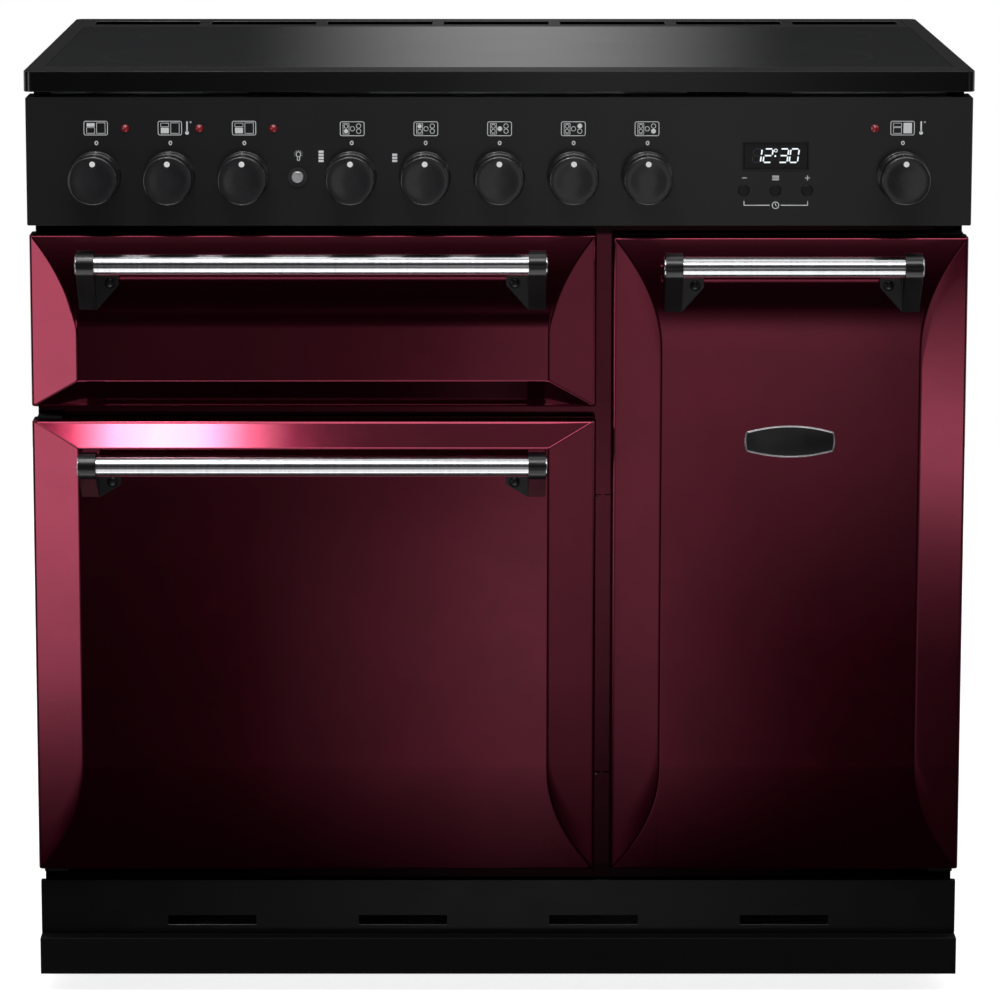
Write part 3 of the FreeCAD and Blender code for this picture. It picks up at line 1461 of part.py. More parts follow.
def side_hung(door, left, right, low, high, ends, pivot_x, bar_length, bar_y, bar_z, foot_drop):
    """A door on two upright pins near one edge."""
    spot = (left, right, low, high) + ends
    form = door_form(f"{door}_form", *spot, "0", "liner_y")
    hollow = door_form(f"{door}_hollow", *spot, "door_wall", "frame_y")
    pin_holes = [
        rod(f"{door}_pin_hole_{end}", "z", "side_pin_radius + side_pin_gap", (pivot_x, "side_pivot_y", start),
            "cut_margin * 2")
        for end, start in (("low", f"{low} - cut_margin"), ("high", f"{high} - cut_margin"))
    ]
    door_panel(f"{door}_panel", form, hollow, pin_holes)
    rim = "(door_wall + clearance)"
    blocks, bores = [], []
    for end, start in (("low", f"{low} + {rim}"), ("high", f"{high} - {rim} - bush_height")):
        blocks.append(box(
            f"{door}_bush_{end}",
            (f"{pivot_x} - bush_half + clearance", f"{pivot_x} + bush_half"),
            ("side_pivot_y - bush_half", "liner_y - liner_sheet / 2"),
            (start, f"{start} + bush_height"),
        ))
        bores.append(rod(f"{door}_bush_bore_{end}", "z", "side_pin_radius + running_fit",
                         (pivot_x, "side_pivot_y", f"{start} - cut_margin"), "bush_height + cut_margin * 2"))
    door_liner(door, left, right, low, high, blocks, bores)
    bar_left = f"(({left} + {right}) / 2 - {bar_length} / 2)"
    handle(door, form, bar_left, bar_length, bar_y, bar_z, foot_drop)


BOW = ("bow", "door_bow")
side_hung("main_door", "left_x0", "left_x1", "main_z0", "main_z1", (BOW, ("bevel", "main_bevel")),
          "main_pivot_x", "left_bar_length", "flat_bar_y", "main_bar_z", "flat_foot_drop")
side_hung("tall_door", "right_x0", "right_x1", "tall_z0", "tall_z1", (BOW, BOW),
          "tall_pivot_x", "right_bar_length", "bow_bar_y", "tall_bar_z", "bow_foot_drop")


def drop_down_door():
    """The grill door, on two lugs that reach into its lower corners."""
    spot = ("left_x0", "left_x1", "grill_z0", "grill_z1", ("bevel", "grill_bevel"), BOW)
    form = door_form("grill_door_form", *spot, "0", "liner_y")
    hollow = door_form("grill_door_hollow", *spot, "door_wall", "frame_y")
    lower_back = box("grill_door_back_relief", ("left_x0 - cut_margin", "left_x1 + cut_margin"),
                     ("liner_y - rim_relief", "frame_y"),
                     ("grill_z0 - cut_margin", "grill_z0 + drop_pivot_height / 2"))
    slots, ears, plate_slots, bores = [], [], [], []
    for end, centre in (("left", "left_x0 + drop_lug_inset"), ("right", "left_x1 - drop_lug_inset")):
        half = "drop_lug_sheet / 2 + clearance"
        slots.append(box(f"grill_door_slot_{end}", (f"{centre} - ({half} * 2)", f"{centre} + {half} * 2"),
                         ("drop_pivot_y - drop_slot_reach", "frame_y"),
                         ("grill_z0 - cut_margin", "grill_z0 + door_wall * 2")))
        plate_slots.append(box(
            f"grill_liner_slot_{end}", (f"{centre} - ({half})", f"{centre} + {half}"),
            ("liner_y - liner_sheet - cut_margin", "frame_y"),
            ("grill_z0 - cut_margin", "drop_pivot_z + drop_lug_half + cut_margin")))
        for side, sign in (("near", "-"), ("far", "+")):
            inner = f"{centre} {sign} ({half})"
            outer = f"{centre} {sign} ({half} + drop_ear_sheet)"
            span = (outer, inner) if sign == "-" else (inner, outer)
            ears.append(box(
                f"grill_ear_{end}_{side}", span,
                ("drop_pivot_y - drop_lug_half", "liner_y - liner_sheet / 2"),
                ("drop_pivot_z - drop_lug_half", "drop_pivot_z + drop_lug_half")))
        bores.append(rod(f"grill_ear_bore_{end}", "x", "drop_pin_radius + running_fit",
                         (f"{centre} - drop_pin_length", "drop_pivot_y", "drop_pivot_z"),
                         "drop_pin_length * 2"))
    door_panel("grill_door_panel", form, hollow, [lower_back] + slots)
    low_edge = box("grill_liner_edge", ("left_x0", "left_x1"), ("liner_y - liner_sheet * 2", "frame_y"),
                   ("grill_z0 - cut_margin", "grill_z0 + drop_pivot_height / 2"))
    door_liner("grill_door", "left_x0", "left_x1", "grill_z0", "grill_z1", ears,
               plate_slots + bores + [low_edge])
    bar_left = "(left_centre - left_bar_length / 2)"
    handle("grill_door", form, bar_left, "left_bar_length", "bow_bar_y", "grill_bar_z", "bow_foot_drop")


drop_down_door()


def door_hinges():
    """Hinge brackets with their pins, and the keepers beside the stile, all on the front frame."""
    pieces = []
    for door, pivot_x, low, high in (("main", "main_pivot_x", "main_z0", "main_z1"),
                                     ("tall", "tall_pivot_x", "tall_z0", "tall_z1")):
        inner = f"{pivot_x} + side_bracket_width" if door == "main" else f"{pivot_x} + side_bracket_front / 2"
        outer = f"{pivot_x} - side_bracket_front / 2" if door == "main" else f"{pivot_x} - side_bracket_width"
        under, over = f"{low} - clearance * 2 - side_bracket_sheet", f"{high} + clearance * 2"
        for end, plate_z, pin_z in (
            ("low", under, under), ("high", over, f"{over} + side_bracket_sheet - side_pin_reach"),
        ):
            plate = box(f"hinge_plate_{door}_{end}", (outer, inner),
                        ("side_pivot_y - side_bracket_front", "frame_y"),
                        (plate_z, f"{plate_z} + side_bracket_sheet"))
            post = rod(f"hinge_pin_{door}_{end}", "z", "side_pin_radius",
                       (pivot_x, "side_pivot_y", pin_z), "side_pin_reach")
            pieces.append(fuse(f"hinge_{door}_{end}", [plate, post]))
    for end, centre in (("left", "left_x0 + drop_lug_inset"), ("right", "left_x1 - drop_lug_inset")):
        lug = box(f"drop_lug_{end}", (f"{centre} - drop_lug_sheet / 2", f"{centre} + drop_lug_sheet / 2"),
                  ("drop_pivot_y - drop_lug_half", "frame_y"),
                  ("drop_pivot_z - drop_lug_half", "drop_pivot_z + drop_lug_half"))
        post = rod(f"drop_pin_{end}", "x", "drop_pin_radius",
                   (f"{centre} - drop_pin_length / 2", "drop_pivot_y", "drop_pivot_z"), "drop_pin_length")
        pieces.append(fuse(f"drop_hinge_{end}", [lug, post]))
    for share in KEEPER_SHARES:
        level = f"main_z0 + main_door_height * {share}"
        for name, edge in (("left", "left_x1 + clearance"), ("right", "right_x0 - clearance - keeper_width")):
            pieces.append(box(f"keeper_{name}", (edge, f"{edge} + keeper_width"),
                              ("frame_y - keeper_reach", "frame_y"),
                              (f"{level} - keeper_height / 2", f"{level} + keeper_height / 2")))
    return finish(group("door_hinges", pieces))


KEEPER_SHARES = (0.19, 0.81)
door_hinges()


# Mains connection
def terminal_block():
    """The mains terminal box inside the back panel, with a hole for the cable."""
    face = "back_y - case_sheet"
    x = ("terminal_place - terminal_width / 2", "terminal_place + terminal_width / 2")
    z = ("terminal_rise - terminal_height / 2", "terminal_rise + terminal_height / 2")
    case = shell("terminal_box", x, (f"{face} - terminal_depth", face), z, "terminal_sheet", "", "y")
    floor = "terminal_rise - terminal_height / 2"
    hole = rod("terminal_cable_hole", "z", "cable_hole",
               ("terminal_place", f"{face} - terminal_depth / 2", f"{floor} - cut_margin"), "cut_margin * 2")
    return finish(cut("terminal_block", case, [hole]))


terminal_block()


def check_and_write():
    """Stop on any failed object, empty cut or invalid piece, then write each piece."""
    doc.recompute()
    failed = [item.Name for item in doc.Objects if "Invalid" in item.State or "Error" in item.State]
    empty_cuts = [
        after.Name for before, after in pocket_pairs
        if after.Shape.Volume >= before.Shape.Volume
    ]
    broken = [item.Label for item in finished if item.Shape.isNull() or not item.Shape.isValid()]
    if failed or empty_cuts or broken:
        raise RuntimeError(f"failed {failed}, cut nothing {empty_cuts}, not valid {broken}")
    os.makedirs("parts", exist_ok=True)
    for item in finished:
        item.Shape.exportStep(os.path.join("parts", item.Label + ".step"))
        print(item.Label, len(item.Shape.Solids))


check_and_write()
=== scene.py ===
import math

import bmesh
import bpy
import numpy as np
from mathutils import Matrix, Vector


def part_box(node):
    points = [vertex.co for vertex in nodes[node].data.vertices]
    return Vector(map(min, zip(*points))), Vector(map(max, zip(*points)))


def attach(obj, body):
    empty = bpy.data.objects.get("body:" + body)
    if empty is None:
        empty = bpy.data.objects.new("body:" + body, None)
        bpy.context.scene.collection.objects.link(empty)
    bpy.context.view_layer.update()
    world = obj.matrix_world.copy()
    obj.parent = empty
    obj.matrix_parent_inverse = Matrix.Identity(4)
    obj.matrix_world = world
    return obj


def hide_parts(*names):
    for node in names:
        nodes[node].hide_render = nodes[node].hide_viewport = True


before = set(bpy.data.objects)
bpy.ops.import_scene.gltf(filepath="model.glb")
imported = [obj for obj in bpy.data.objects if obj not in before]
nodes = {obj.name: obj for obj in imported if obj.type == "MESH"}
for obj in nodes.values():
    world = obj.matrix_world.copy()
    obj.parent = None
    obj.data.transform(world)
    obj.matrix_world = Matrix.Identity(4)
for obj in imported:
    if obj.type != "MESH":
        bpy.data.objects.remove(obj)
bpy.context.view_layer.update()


# Camera
# A long lens well above the hob, tilted down a little at the middle of the cooker, so that the hob is
# seen at a low slant and the uprights stay nearly parallel.
camera_data = bpy.data.cameras.new("front_camera")
camera_data.sensor_width = 36.0
camera_data.lens = 164.8
camera_data.shift_x = 0.0284
camera_data.shift_y = -0.1
camera = bpy.data.objects.new("front_camera", camera_data)
camera.location = (-0.026, -4.57575, 1.310)
camera.rotation_euler = (math.radians(80.515), 0.0, 0.0)
bpy.context.scene.collection.objects.link(camera)
bpy.context.scene.camera = camera
bpy.context.scene.view_settings.view_transform = "Standard"


# Studio
# A white sweep with a dim room in front of the cooker: the gloss doors mirror the room with its one soft
# glow, and tall soft lamps on the left, right and overhead give facets and bevels their bright bands.
def colour(code):
    """The linear colour of an sRGB hex value."""
    parts = [int(code[place:place + 2], 16) / 255 for place in (0, 2, 4)]
    return [part / 12.92 if part <= 0.04045 else ((part + 0.055) / 1.055) ** 2.4 for part in parts] + [1.0]


def add(tree, kind, settings=None, links=None):
    """Adds one node; settings fill its properties or sockets and links feed its sockets."""
    item = tree.nodes.new(kind)
    for name, value in (settings or {}).items():
        if isinstance(name, int) or name in item.inputs:
            item.inputs[name].default_value = value
        else:
            setattr(item, name, value)
    for name, source in (links or {}).items():
        tree.links.new(source, item.inputs[name])
    return item


world = bpy.data.worlds.new("studio")
world.use_nodes = True
bpy.context.scene.world = world
sky = world.node_tree
sky.nodes.clear()
look = add(sky, "ShaderNodeTexCoord").outputs["Generated"]
axes = add(sky, "ShaderNodeSeparateXYZ", links={"Vector": look})


def ramp(tree, source, stops, low, high):
    """A grey tone read off a list of (place, tone) stops between two ends of a value."""
    scaled = add(tree, "ShaderNodeMapRange", {"From Min": low, "From Max": high}, {"Value": source})
    curve = add(tree, "ShaderNodeValToRGB", links={"Fac": scaled.outputs["Result"]})
    curve.color_ramp.elements.remove(curve.color_ramp.elements[1])
    for count, (place, tone) in enumerate(stops):
        spot = (place - low) / (high - low)
        stop = curve.color_ramp.elements.new(spot) if count else curve.color_ramp.elements[0]
        stop.position = spot
        stop.color = (tone, tone, tone, 1.0)
    return curve.outputs["Color"]


def soft_patch(tree, centre, reach, inner, outer, low, high):
    """Tone low inside an oval about a direction and high outside it, with a soft edge between."""
    off = add(tree, "ShaderNodeVectorMath", {"operation": "SUBTRACT", 1: centre}, {0: look})
    scaled = add(tree, "ShaderNodeVectorMath", {"operation": "DIVIDE", 1: reach}, {0: off.outputs[0]})
    away = add(tree, "ShaderNodeVectorMath", {"operation": "LENGTH"}, {0: scaled.outputs[0]})
    return add(tree, "ShaderNodeMapRange", {
        "interpolation_type": "SMOOTHSTEP", "From Min": inner, "From Max": outer, "To Min": low,
        "To Max": high,
    }, {"Value": away.outputs["Value"]}).outputs["Result"]


ahead = add(sky, "ShaderNodeMath", {"operation": "MULTIPLY", 1: -1.0}, {0: axes.outputs["Y"]})
compass = add(sky, "ShaderNodeMath", {"operation": "ARCTAN2"}, {0: axes.outputs["X"], 1: ahead.outputs[0]})
# Each pair is a tone across the room and how it fades with height: the low middle glow, the wide glow
# above it, the two side glows that the inner facets mirror, and the pale ceiling.
glows = (
    ((-0.0845, 0.0), (-0.0609, 0.01), (-0.0497, 0.04), (-0.0385, 0.17), (-0.0273, 0.27), (-0.0161, 0.40),
     (-0.0049, 0.56), (0.0063, 0.78), (0.0152, 0.85), (0.024, 0.80), (0.034, 0.60), (0.0444, 0.40),
     (0.0511, 0.31),
     (0.060, 0.16), (0.069, 0.08), (0.080, 0.01), (0.09, 0.0)),
    ((-0.8, 0.14), (-0.72, 0.20), (-0.64, 0.27), (-0.54, 0.36), (-0.43, 0.46), (-0.30, 0.62), (-0.24, 0.70),
     (-0.2328, 0.83), (-0.2243, 0.95), (-0.216, 1.0), (-0.208, 0.97), (-0.20, 0.88), (-0.193, 0.70),
     (-0.186, 0.50),
     (-0.175, 0.30), (-0.1657, 0.10), (-0.157, 0.0)),
), (
    ((-0.16, 0.0), (-0.12, 0.02), (-0.0845, 0.08), (-0.06, 0.12), (-0.0273, 0.13), (-0.0161, 0.17),
     (-0.0049, 0.26), (0.0063, 0.45),
     (0.0152, 0.60), (0.03, 0.75), (0.0444, 0.75), (0.0511, 0.70), (0.069, 0.70), (0.078, 0.66),
     (0.087, 0.58),
     (0.096, 0.45), (0.11, 0.26), (0.13, 0.06), (0.16, 0.0)),
    ((-0.216, 0.0), (-0.208, 0.08), (-0.20, 0.20), (-0.186, 0.42), (-0.1657, 0.80), (-0.157, 0.93),
     (-0.09, 0.95),
     (-0.065, 1.0), (-0.03, 0.95), (0.0, 0.75), (0.05, 0.30), (0.11, 0.02)),
), (
    ((-0.86, 0.04), (-0.80, 0.12), (-0.716, 0.78), (-0.60, 0.55), (-0.30, 0.04), (-0.15, 0.02), (0.15, 0.02),
     (0.30, 0.04), (0.60, 0.30), (0.74, 0.62), (0.80, 0.56), (0.86, 0.09), (1.2, 0.05)),
    ((-0.27, 0.03), (-0.2577, 0.14), (-0.2495, 0.30), (-0.241, 0.45), (-0.2328, 0.60), (-0.2243, 0.73),
     (-0.216, 0.80),
     (-0.199, 0.93), (-0.186, 1.0), (-0.065, 0.95), (0.0, 0.70), (0.1, 0.20), (0.3, 0.12), (1.0, 0.10)),
)
overhead = ramp(sky, axes.outputs["Z"], ((-0.4, 0.0), (0.1, 0.0), (0.3, 0.008), (0.42, 0.08), (0.6, 0.30),
                                         (0.88, 0.42), (1.0, 0.35)),
                -0.4, 1.0)
room_tone = overhead
for across, upward in glows:
    wide = ramp(sky, compass.outputs[0], across, across[0][0], across[-1][0])
    high = ramp(sky, axes.outputs["Z"], upward, upward[0][0], upward[-1][0])
    room_tone = add(sky, "ShaderNodeMath", {"operation": "MULTIPLY_ADD"},
                    {0: wide, 1: high, 2: room_tone}).outputs[0]
behind = add(sky, "ShaderNodeMapRange", {"From Min": 0.0, "From Max": 0.35}, {"Value": axes.outputs["Y"]})
shade = soft_patch(sky, (0.0, 0.996, 0.087), (0.35, 1.0, 0.5), 0.9, 1.5, 0.012, 0.8)
hob_glow = soft_patch(sky, (0.0097, 0.996, 0.087), (1.0, 1.0, 2.2), 0.0, 0.062, 0.36, 0.0)
back_tone = add(sky, "ShaderNodeMath", {"operation": "ADD"}, {0: shade, 1: hob_glow})
tones = add(sky, "ShaderNodeMix", {}, {0: behind.outputs["Result"], 2: room_tone, 3: back_tone.outputs[0]})
room = add(sky, "ShaderNodeBackground", {"Color": colour("ffffff")}, {"Strength": tones.outputs[0]})
paper = add(sky, "ShaderNodeBackground", {"Color": colour("ffffff"), "Strength": 1.0})
path = add(sky, "ShaderNodeLightPath")
sky_mix = add(sky, "ShaderNodeMixShader",
              links={0: path.outputs["Is Camera Ray"], 1: room.outputs[0], 2: paper.outputs[0]})
add(sky, "ShaderNodeOutputWorld", links={"Surface": sky_mix.outputs[0]})


def lamp(name, place, aim, width, height, radiance, spread=180):
    """A rectangular soft lamp facing its aim; its power is the radiance times its area times pi."""
    data = bpy.data.lights.new(name, "AREA")
    data.shape = "RECTANGLE"
    data.size = width
    data.size_y = height
    data.energy = radiance * width * height * math.pi
    data.spread = math.radians(spread)
    item = bpy.data.objects.new(name, data)
    place, aim = np.array(place), np.array(aim)
    back = (place - aim) / np.linalg.norm(place - aim)
    side = np.cross((0.0, 0.0, 1.0), back)
    side = side / np.linalg.norm(side)
    turn = np.eye(4)
    turn[:3, 0], turn[:3, 1], turn[:3, 2], turn[:3, 3] = side, np.cross(back, side), back, place
    item.matrix_world = Matrix(turn.tolist())
    item.visible_camera = False
    bpy.context.scene.collection.objects.link(item)
    return item


def graded(item, axis, stops):
    """Lets a lamp's light rise and fall along one world axis, as a softbox does towards its edges."""
    item.data.use_nodes = True
    tree = item.data.node_tree
    tree.nodes.clear()
    spot = add(tree, "ShaderNodeNewGeometry").outputs["Position"]
    spot = add(tree, "ShaderNodeSeparateXYZ", links={"Vector": spot}).outputs[axis]
    glow = add(tree, "ShaderNodeEmission", links={"Strength": ramp(tree, spot, stops, stops[0][0],
                                                                   stops[-1][0])})
    add(tree, "ShaderNodeOutputLight", links={"Surface": glow.outputs[0]})


graded(lamp("left_softbox", (-2.62, -2.21, 0.375), (-0.42, -0.28, 0.375), 0.62, 2.05, 3.1), "Z", (
    (-0.66, 0.0), (-0.61, 0.03), (-0.547, 0.09), (-0.483, 0.18), (-0.42, 0.31), (-0.356, 0.52), (-0.29, 0.68),
    (-0.164, 0.86), (-0.067, 1.0), (1.41, 1.0),
))
graded(lamp("bevel_softbox", (-0.43, -1.48, 2.90), (-0.43, -0.28, 0.56), 0.62, 0.3, 45.0), "X", (
    (-0.68, 0.0), (-0.6623, 0.003), (-0.639, 0.03), (-0.608, 0.28), (-0.57, 0.75), (-0.508, 1.0),
    (-0.446, 0.88),
    (-0.369, 0.16), (-0.30, 0.005), (-0.20, 0.0),
))
lamp("right_softbox", (2.75, -1.35, 1.6), (0.35, -0.28, 0.6), 0.8, 1.2, 2.2)
graded(lamp("right_card", (2.67, -2.175, -0.01), (0.44, -0.28, -0.01), 0.36, 0.62, 2.0), "Z", (
    (-0.32, 0.0), (-0.291, 0.03), (-0.228, 0.07), (-0.167, 0.18), (-0.117, 0.35), (-0.067, 0.63), (0.0, 0.95),
    (0.045, 1.0), (0.09, 0.93), (0.155, 0.63), (0.2046, 0.45), (0.30, 0.10),
))
lamp("top_softbox", (0.3, -0.35, 3.1), (0.3, -0.34, 0.9), 1.6, 1.2, 1.0)
lamp("front_softbox", (0.0, -2.6, 3.2), (0.0, -0.28, 0.6), 3.2, 1.0, 5.0)
lamp("low_handle_strip", (0.0, -0.64, 0.085), (0.0, -0.405, 0.527), 1.5, 0.22, 0.2, spread=60)
lamp("high_handle_strip", (0.0, -0.82, 0.24), (0.0, -0.466, 0.594), 1.5, 0.22, 0.17, spread=54)
lamp("low_handle_glow", (0.0, -0.47, 0.24), (0.0, -0.43, 0.50), 1.5, 0.12, 0.10, spread=70)
lamp("high_handle_glow", (0.0, -0.42, 0.43), (0.0, -0.41, 0.69), 1.5, 0.12, 0.10, spread=60)

floor_mesh = bpy.data.meshes.new("studio_floor")
floor_mesh.from_pydata([(-2.6, -0.85, 0.0), (2.6, -0.85, 0.0), (2.6, 2.8, 0.0), (-2.6, 2.8, 0.0)], [],
                       [(0, 1, 2, 3)])
studio_floor = bpy.data.objects.new("studio_floor", floor_mesh)
bpy.context.scene.collection.objects.link(studio_floor)
floor_paint = bpy.data.materials.new("studio_floor_paint")
floor_paint.use_nodes = True
tree = floor_paint.node_tree
tree.nodes.clear()
matt = add(tree, "ShaderNodeBsdfDiffuse", {"Color": colour("e4e4e4")})
glow = add(tree, "ShaderNodeEmission", {"Color": colour("ffffff"), "Strength": 0.8})
clear = add(tree, "ShaderNodeBsdfTransparent", {"Color": colour("ffffff")})
path = add(tree, "ShaderNodeLightPath")
lit = add(tree, "ShaderNodeAddShader", links={0: matt.outputs[0], 1: glow.outputs[0]})
seen = add(tree, "ShaderNodeMixShader", links={0: path.outputs["Is Camera Ray"], 1: matt.outputs[0],
                                               2: lit.outputs[0]})
mixed = add(tree, "ShaderNodeMixShader", links={0: path.outputs["Is Glossy Ray"], 1: seen.outputs[0],
                                                2: clear.outputs[0]})
add(tree, "ShaderNodeOutputMaterial", links={"Surface": mixed.outputs[0]})
floor_mesh.materials.append(floor_paint)


# Doors
# Three pressed sheet-steel doors in gloss burgundy vitreous enamel. The face stands 18 mm proud of the
# rim, with a flat facet down each side and either a long bow or a short bevel at the top and bottom.
def finish(name, settings):
    """A new material with one principled shader; returns the material, its tree, shader and place."""
    material = bpy.data.materials.new(name)
    material.use_nodes = True
    tree = material.node_tree
    tree.nodes.clear()
    shader = add(tree, "ShaderNodeBsdfPrincipled", settings)
    add(tree, "ShaderNodeOutputMaterial", links={"Surface": shader.outputs["BSDF"]})
    place = add(tree, "ShaderNodeTexCoord").outputs["Object"]
    return material, tree, shader, place


# Burgundy vitreous enamel: ground glass fired on steel. It gives a deep colour under a clear gloss coat,
# a slow waviness of a few centimetres and a fine orange peel about 2 mm across.
burgundy, tree, shader, place = finish("burgundy_vitreous_enamel", {
    "Metallic": 0.95, "Roughness": 0.12, "IOR": 1.5, "Coat Weight": 0.3, "Coat Roughness": 0.02,
    "Coat IOR": 1.5,
})
cloud = add(tree, "ShaderNodeTexNoise", {"Scale": 14.0, "Detail": 4.0, "Roughness": 0.55}, {"Vector": place})
tone = add(tree, "ShaderNodeValToRGB", links={"Fac": cloud.outputs["Fac"]})
tone.color_ramp.elements[0].position = 0.3
tone.color_ramp.elements[0].color = colour("5d1227")
tone.color_ramp.elements[1].position = 0.7
tone.color_ramp.elements[1].color = colour("64152b")
tree.links.new(tone.outputs["Color"], shader.inputs["Base Color"])
sheen_noise = add(tree, "ShaderNodeTexNoise", {"Scale": 60.0, "Detail": 3.0}, {"Vector": place})
gloss = add(tree, "ShaderNodeMapRange", {"To Min": 0.07, "To Max": 0.11},
            {"Value": sheen_noise.outputs["Fac"]})
tree.links.new(gloss.outputs["Result"], shader.inputs["Roughness"])
peel = add(tree, "ShaderNodeTexNoise", {"Scale": 480.0, "Detail": 2.0}, {"Vector": place})
waves = add(tree, "ShaderNodeTexNoise", {"Scale": 9.0, "Detail": 1.0}, {"Vector": place})
wavy = add(tree, "ShaderNodeBump", {"Strength": 0.05, "Distance": 0.001}, {"Height": waves.outputs["Fac"]})
peeled = add(tree, "ShaderNodeBump", {"Strength": 0.03, "Distance": 0.00008},
             {"Height": peel.outputs["Fac"], "Normal": wavy.outputs["Normal"]})
tree.links.new(peeled.outputs["Normal"], shader.inputs["Normal"])


def make_piece(name, points, faces, material, body, merge=True):
    """A smooth-shaded piece from its points and faces, riding on a body."""
    mesh = bpy.data.meshes.new(name)
    mesh.from_pydata(np.asarray(points, float).reshape(-1, 3).tolist(), [], [list(face) for face in faces])
    form = bmesh.new()
    form.from_mesh(mesh)
    if merge:
        bmesh.ops.remove_doubles(form, verts=form.verts, dist=2e-6)
    form.to_mesh(mesh)
    form.free()
    mesh.shade_smooth()
    mesh.materials.append(material)
    piece = bpy.data.objects.new(name, mesh)
    bpy.context.scene.collection.objects.link(piece)
    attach(piece, body)
    return piece


def grid_faces(rows, columns, around=False):
    """Corner numbers of every quad of a grid; around joins its last column to its first."""
    row, column = np.meshgrid(np.arange(rows - 1), np.arange(columns if around else columns - 1),
                              indexing="ij")
    first = row * columns + column
    second = row * columns + (column + 1) % columns
    return np.stack([first, second, second + columns, first + columns], -1).reshape(-1, 4)


def door_skin(name, x0, x1, z0, z1, ends, low_wall, slots, body):
    """Depth over (x, z): the smaller of the side facets' ramp and the end's ramp or arc, blended over a
    crease, then a rolled rim of constant radius round the edge and a straight wall behind it."""
    rim, face, back = -0.26075, -0.27875, -0.23975
    proud, facet, bow = rim - face, 0.0455, 0.108
    roll, tilt, crease = 0.0036, math.radians(20), 0.00055
    inset = roll * (1 - math.sin(tilt))
    arc = (bow ** 2 + proud ** 2) / (2 * proud)

    def end_rise(kind, length, distance):
        if kind == "bow":
            near = np.minimum(distance, length)
            return np.sqrt(arc ** 2 - (length - near) ** 2) - (arc - proud)
        return soft_min(proud * distance / length, proud + 0 * distance)

    def soft_min(first, second):
        return np.minimum(first, second) - np.maximum(crease - np.abs(first - second), 0) ** 2 / (4 * crease)

    def mitre(kind, length, rise):
        if kind == "bow":
            return length - np.sqrt(arc ** 2 - (rise + arc - proud) ** 2)
        return length * rise / proud

    band = 0.0022
    width = x1 - x0
    ramp = np.concatenate([
        np.linspace(inset, facet - band, 22), facet + np.linspace(-band, band, 9)[1:],
        np.linspace(facet + band, width / 2, 12)[1:],
    ])
    across = np.concatenate([ramp, width - ramp[::-1][1:]])
    across = np.unique(np.concatenate([across, np.array(slots).ravel() - x0])) if len(slots) else across
    edge_distance = np.minimum(across, width - across)
    side_rise = proud * edge_distance / facet
    rows = []
    for kind, length in ends:
        fold = mitre(kind, length, np.minimum(side_rise, proud))
        start = np.maximum(fold - band, inset + 0.00003)
        rows.append(inset + (start - inset) * np.linspace(0, 1, 16)[:, None])
        steps = fold + np.linspace(-band, band, 9)[1:, None]
        rows.append(np.maximum(steps, start + 0.00003 * np.arange(1, 9)[:, None]))
    height = z1 - z0
    low_rows = np.concatenate(rows[:2])
    high_rows = height - np.concatenate(rows[2:])[::-1]
    middle = low_rows[-1] + (high_rows[0] - low_rows[-1]) * np.linspace(0, 1, 14)[1:-1, None]
    up = np.concatenate([low_rows, middle, high_rows])
    end_height = np.where(
        up < height / 2, end_rise(*ends[0], up), end_rise(*ends[1], height - up))
    rise = soft_min(np.broadcast_to(side_rise, up.shape), end_height)
    count_rows, count_columns = up.shape
    skin = np.stack([np.broadcast_to(x0 + across, up.shape), rim - rise, z0 + up], -1)

    last_row, last_column = count_rows - 1, count_columns - 1
    loop, ways = [], []
    for rows_at, columns_at, start_way in (
        (np.zeros(count_columns, int), np.arange(count_columns), -90.0),
        (np.arange(count_rows), np.full(count_rows, last_column), 0.0),
        (np.full(count_columns, last_row), np.arange(count_columns)[::-1], 90.0),
        (np.arange(count_rows)[::-1], np.zeros(count_rows, int), 180.0),
    ):
        loop.append(skin[rows_at, columns_at])
        ways.append(np.full(len(rows_at), start_way))
        corner = np.linspace(0, 90, 7)[1:-1]
        loop.append(np.repeat(skin[rows_at[-1], columns_at[-1]][None], len(corner), 0))
        ways.append(start_way + corner)
    loop, ways = np.concatenate(loop), np.radians(np.concatenate(ways))
    outward = np.stack([np.cos(ways), np.zeros(len(ways)), np.sin(ways)], -1)
    rings = [loop]
    for lean in np.radians(np.linspace(20, 90, 8)[1:]):
        ring = loop + outward * roll * (np.sin(lean) - math.sin(tilt))
        ring[:, 1] += roll * (math.cos(tilt) - np.cos(lean))
        rings.append(ring)
    ends_at = np.where(loop[:, 2] < z0 + 0.007, low_wall, back)
    for share in (0.5, 1.0):
        ring = rings[-1].copy()
        ring[:, 1] = ring[:, 1] + (ends_at - ring[:, 1]) * share
        rings.append(ring)
    rings = np.stack(rings)
    rim_faces = grid_faces(rings.shape[0], rings.shape[1], around=True)[:, ::-1]
    middles = rings.reshape(-1, 3)[rim_faces].mean(1)
    kept = np.ones(len(rim_faces), bool)
    for low, high in slots:
        kept &= ~((middles[:, 0] > low) & (middles[:, 0] < high) & (middles[:, 2] < z0 + 0.002)
                  & (middles[:, 1] > -0.2570))
    skin_faces = grid_faces(count_rows, count_columns)
    offset = count_rows * count_columns
    points = np.concatenate([skin.reshape(-1, 3), rings.reshape(-1, 3)])
    piece = make_piece(name, points, np.concatenate([skin_faces, rim_faces[kept] + offset]), burgundy, body)
    wall = piece.modifiers.new("sheet", "SOLIDIFY")
    wall.thickness = 0.0014
    wall.offset = -1.0
    return piece


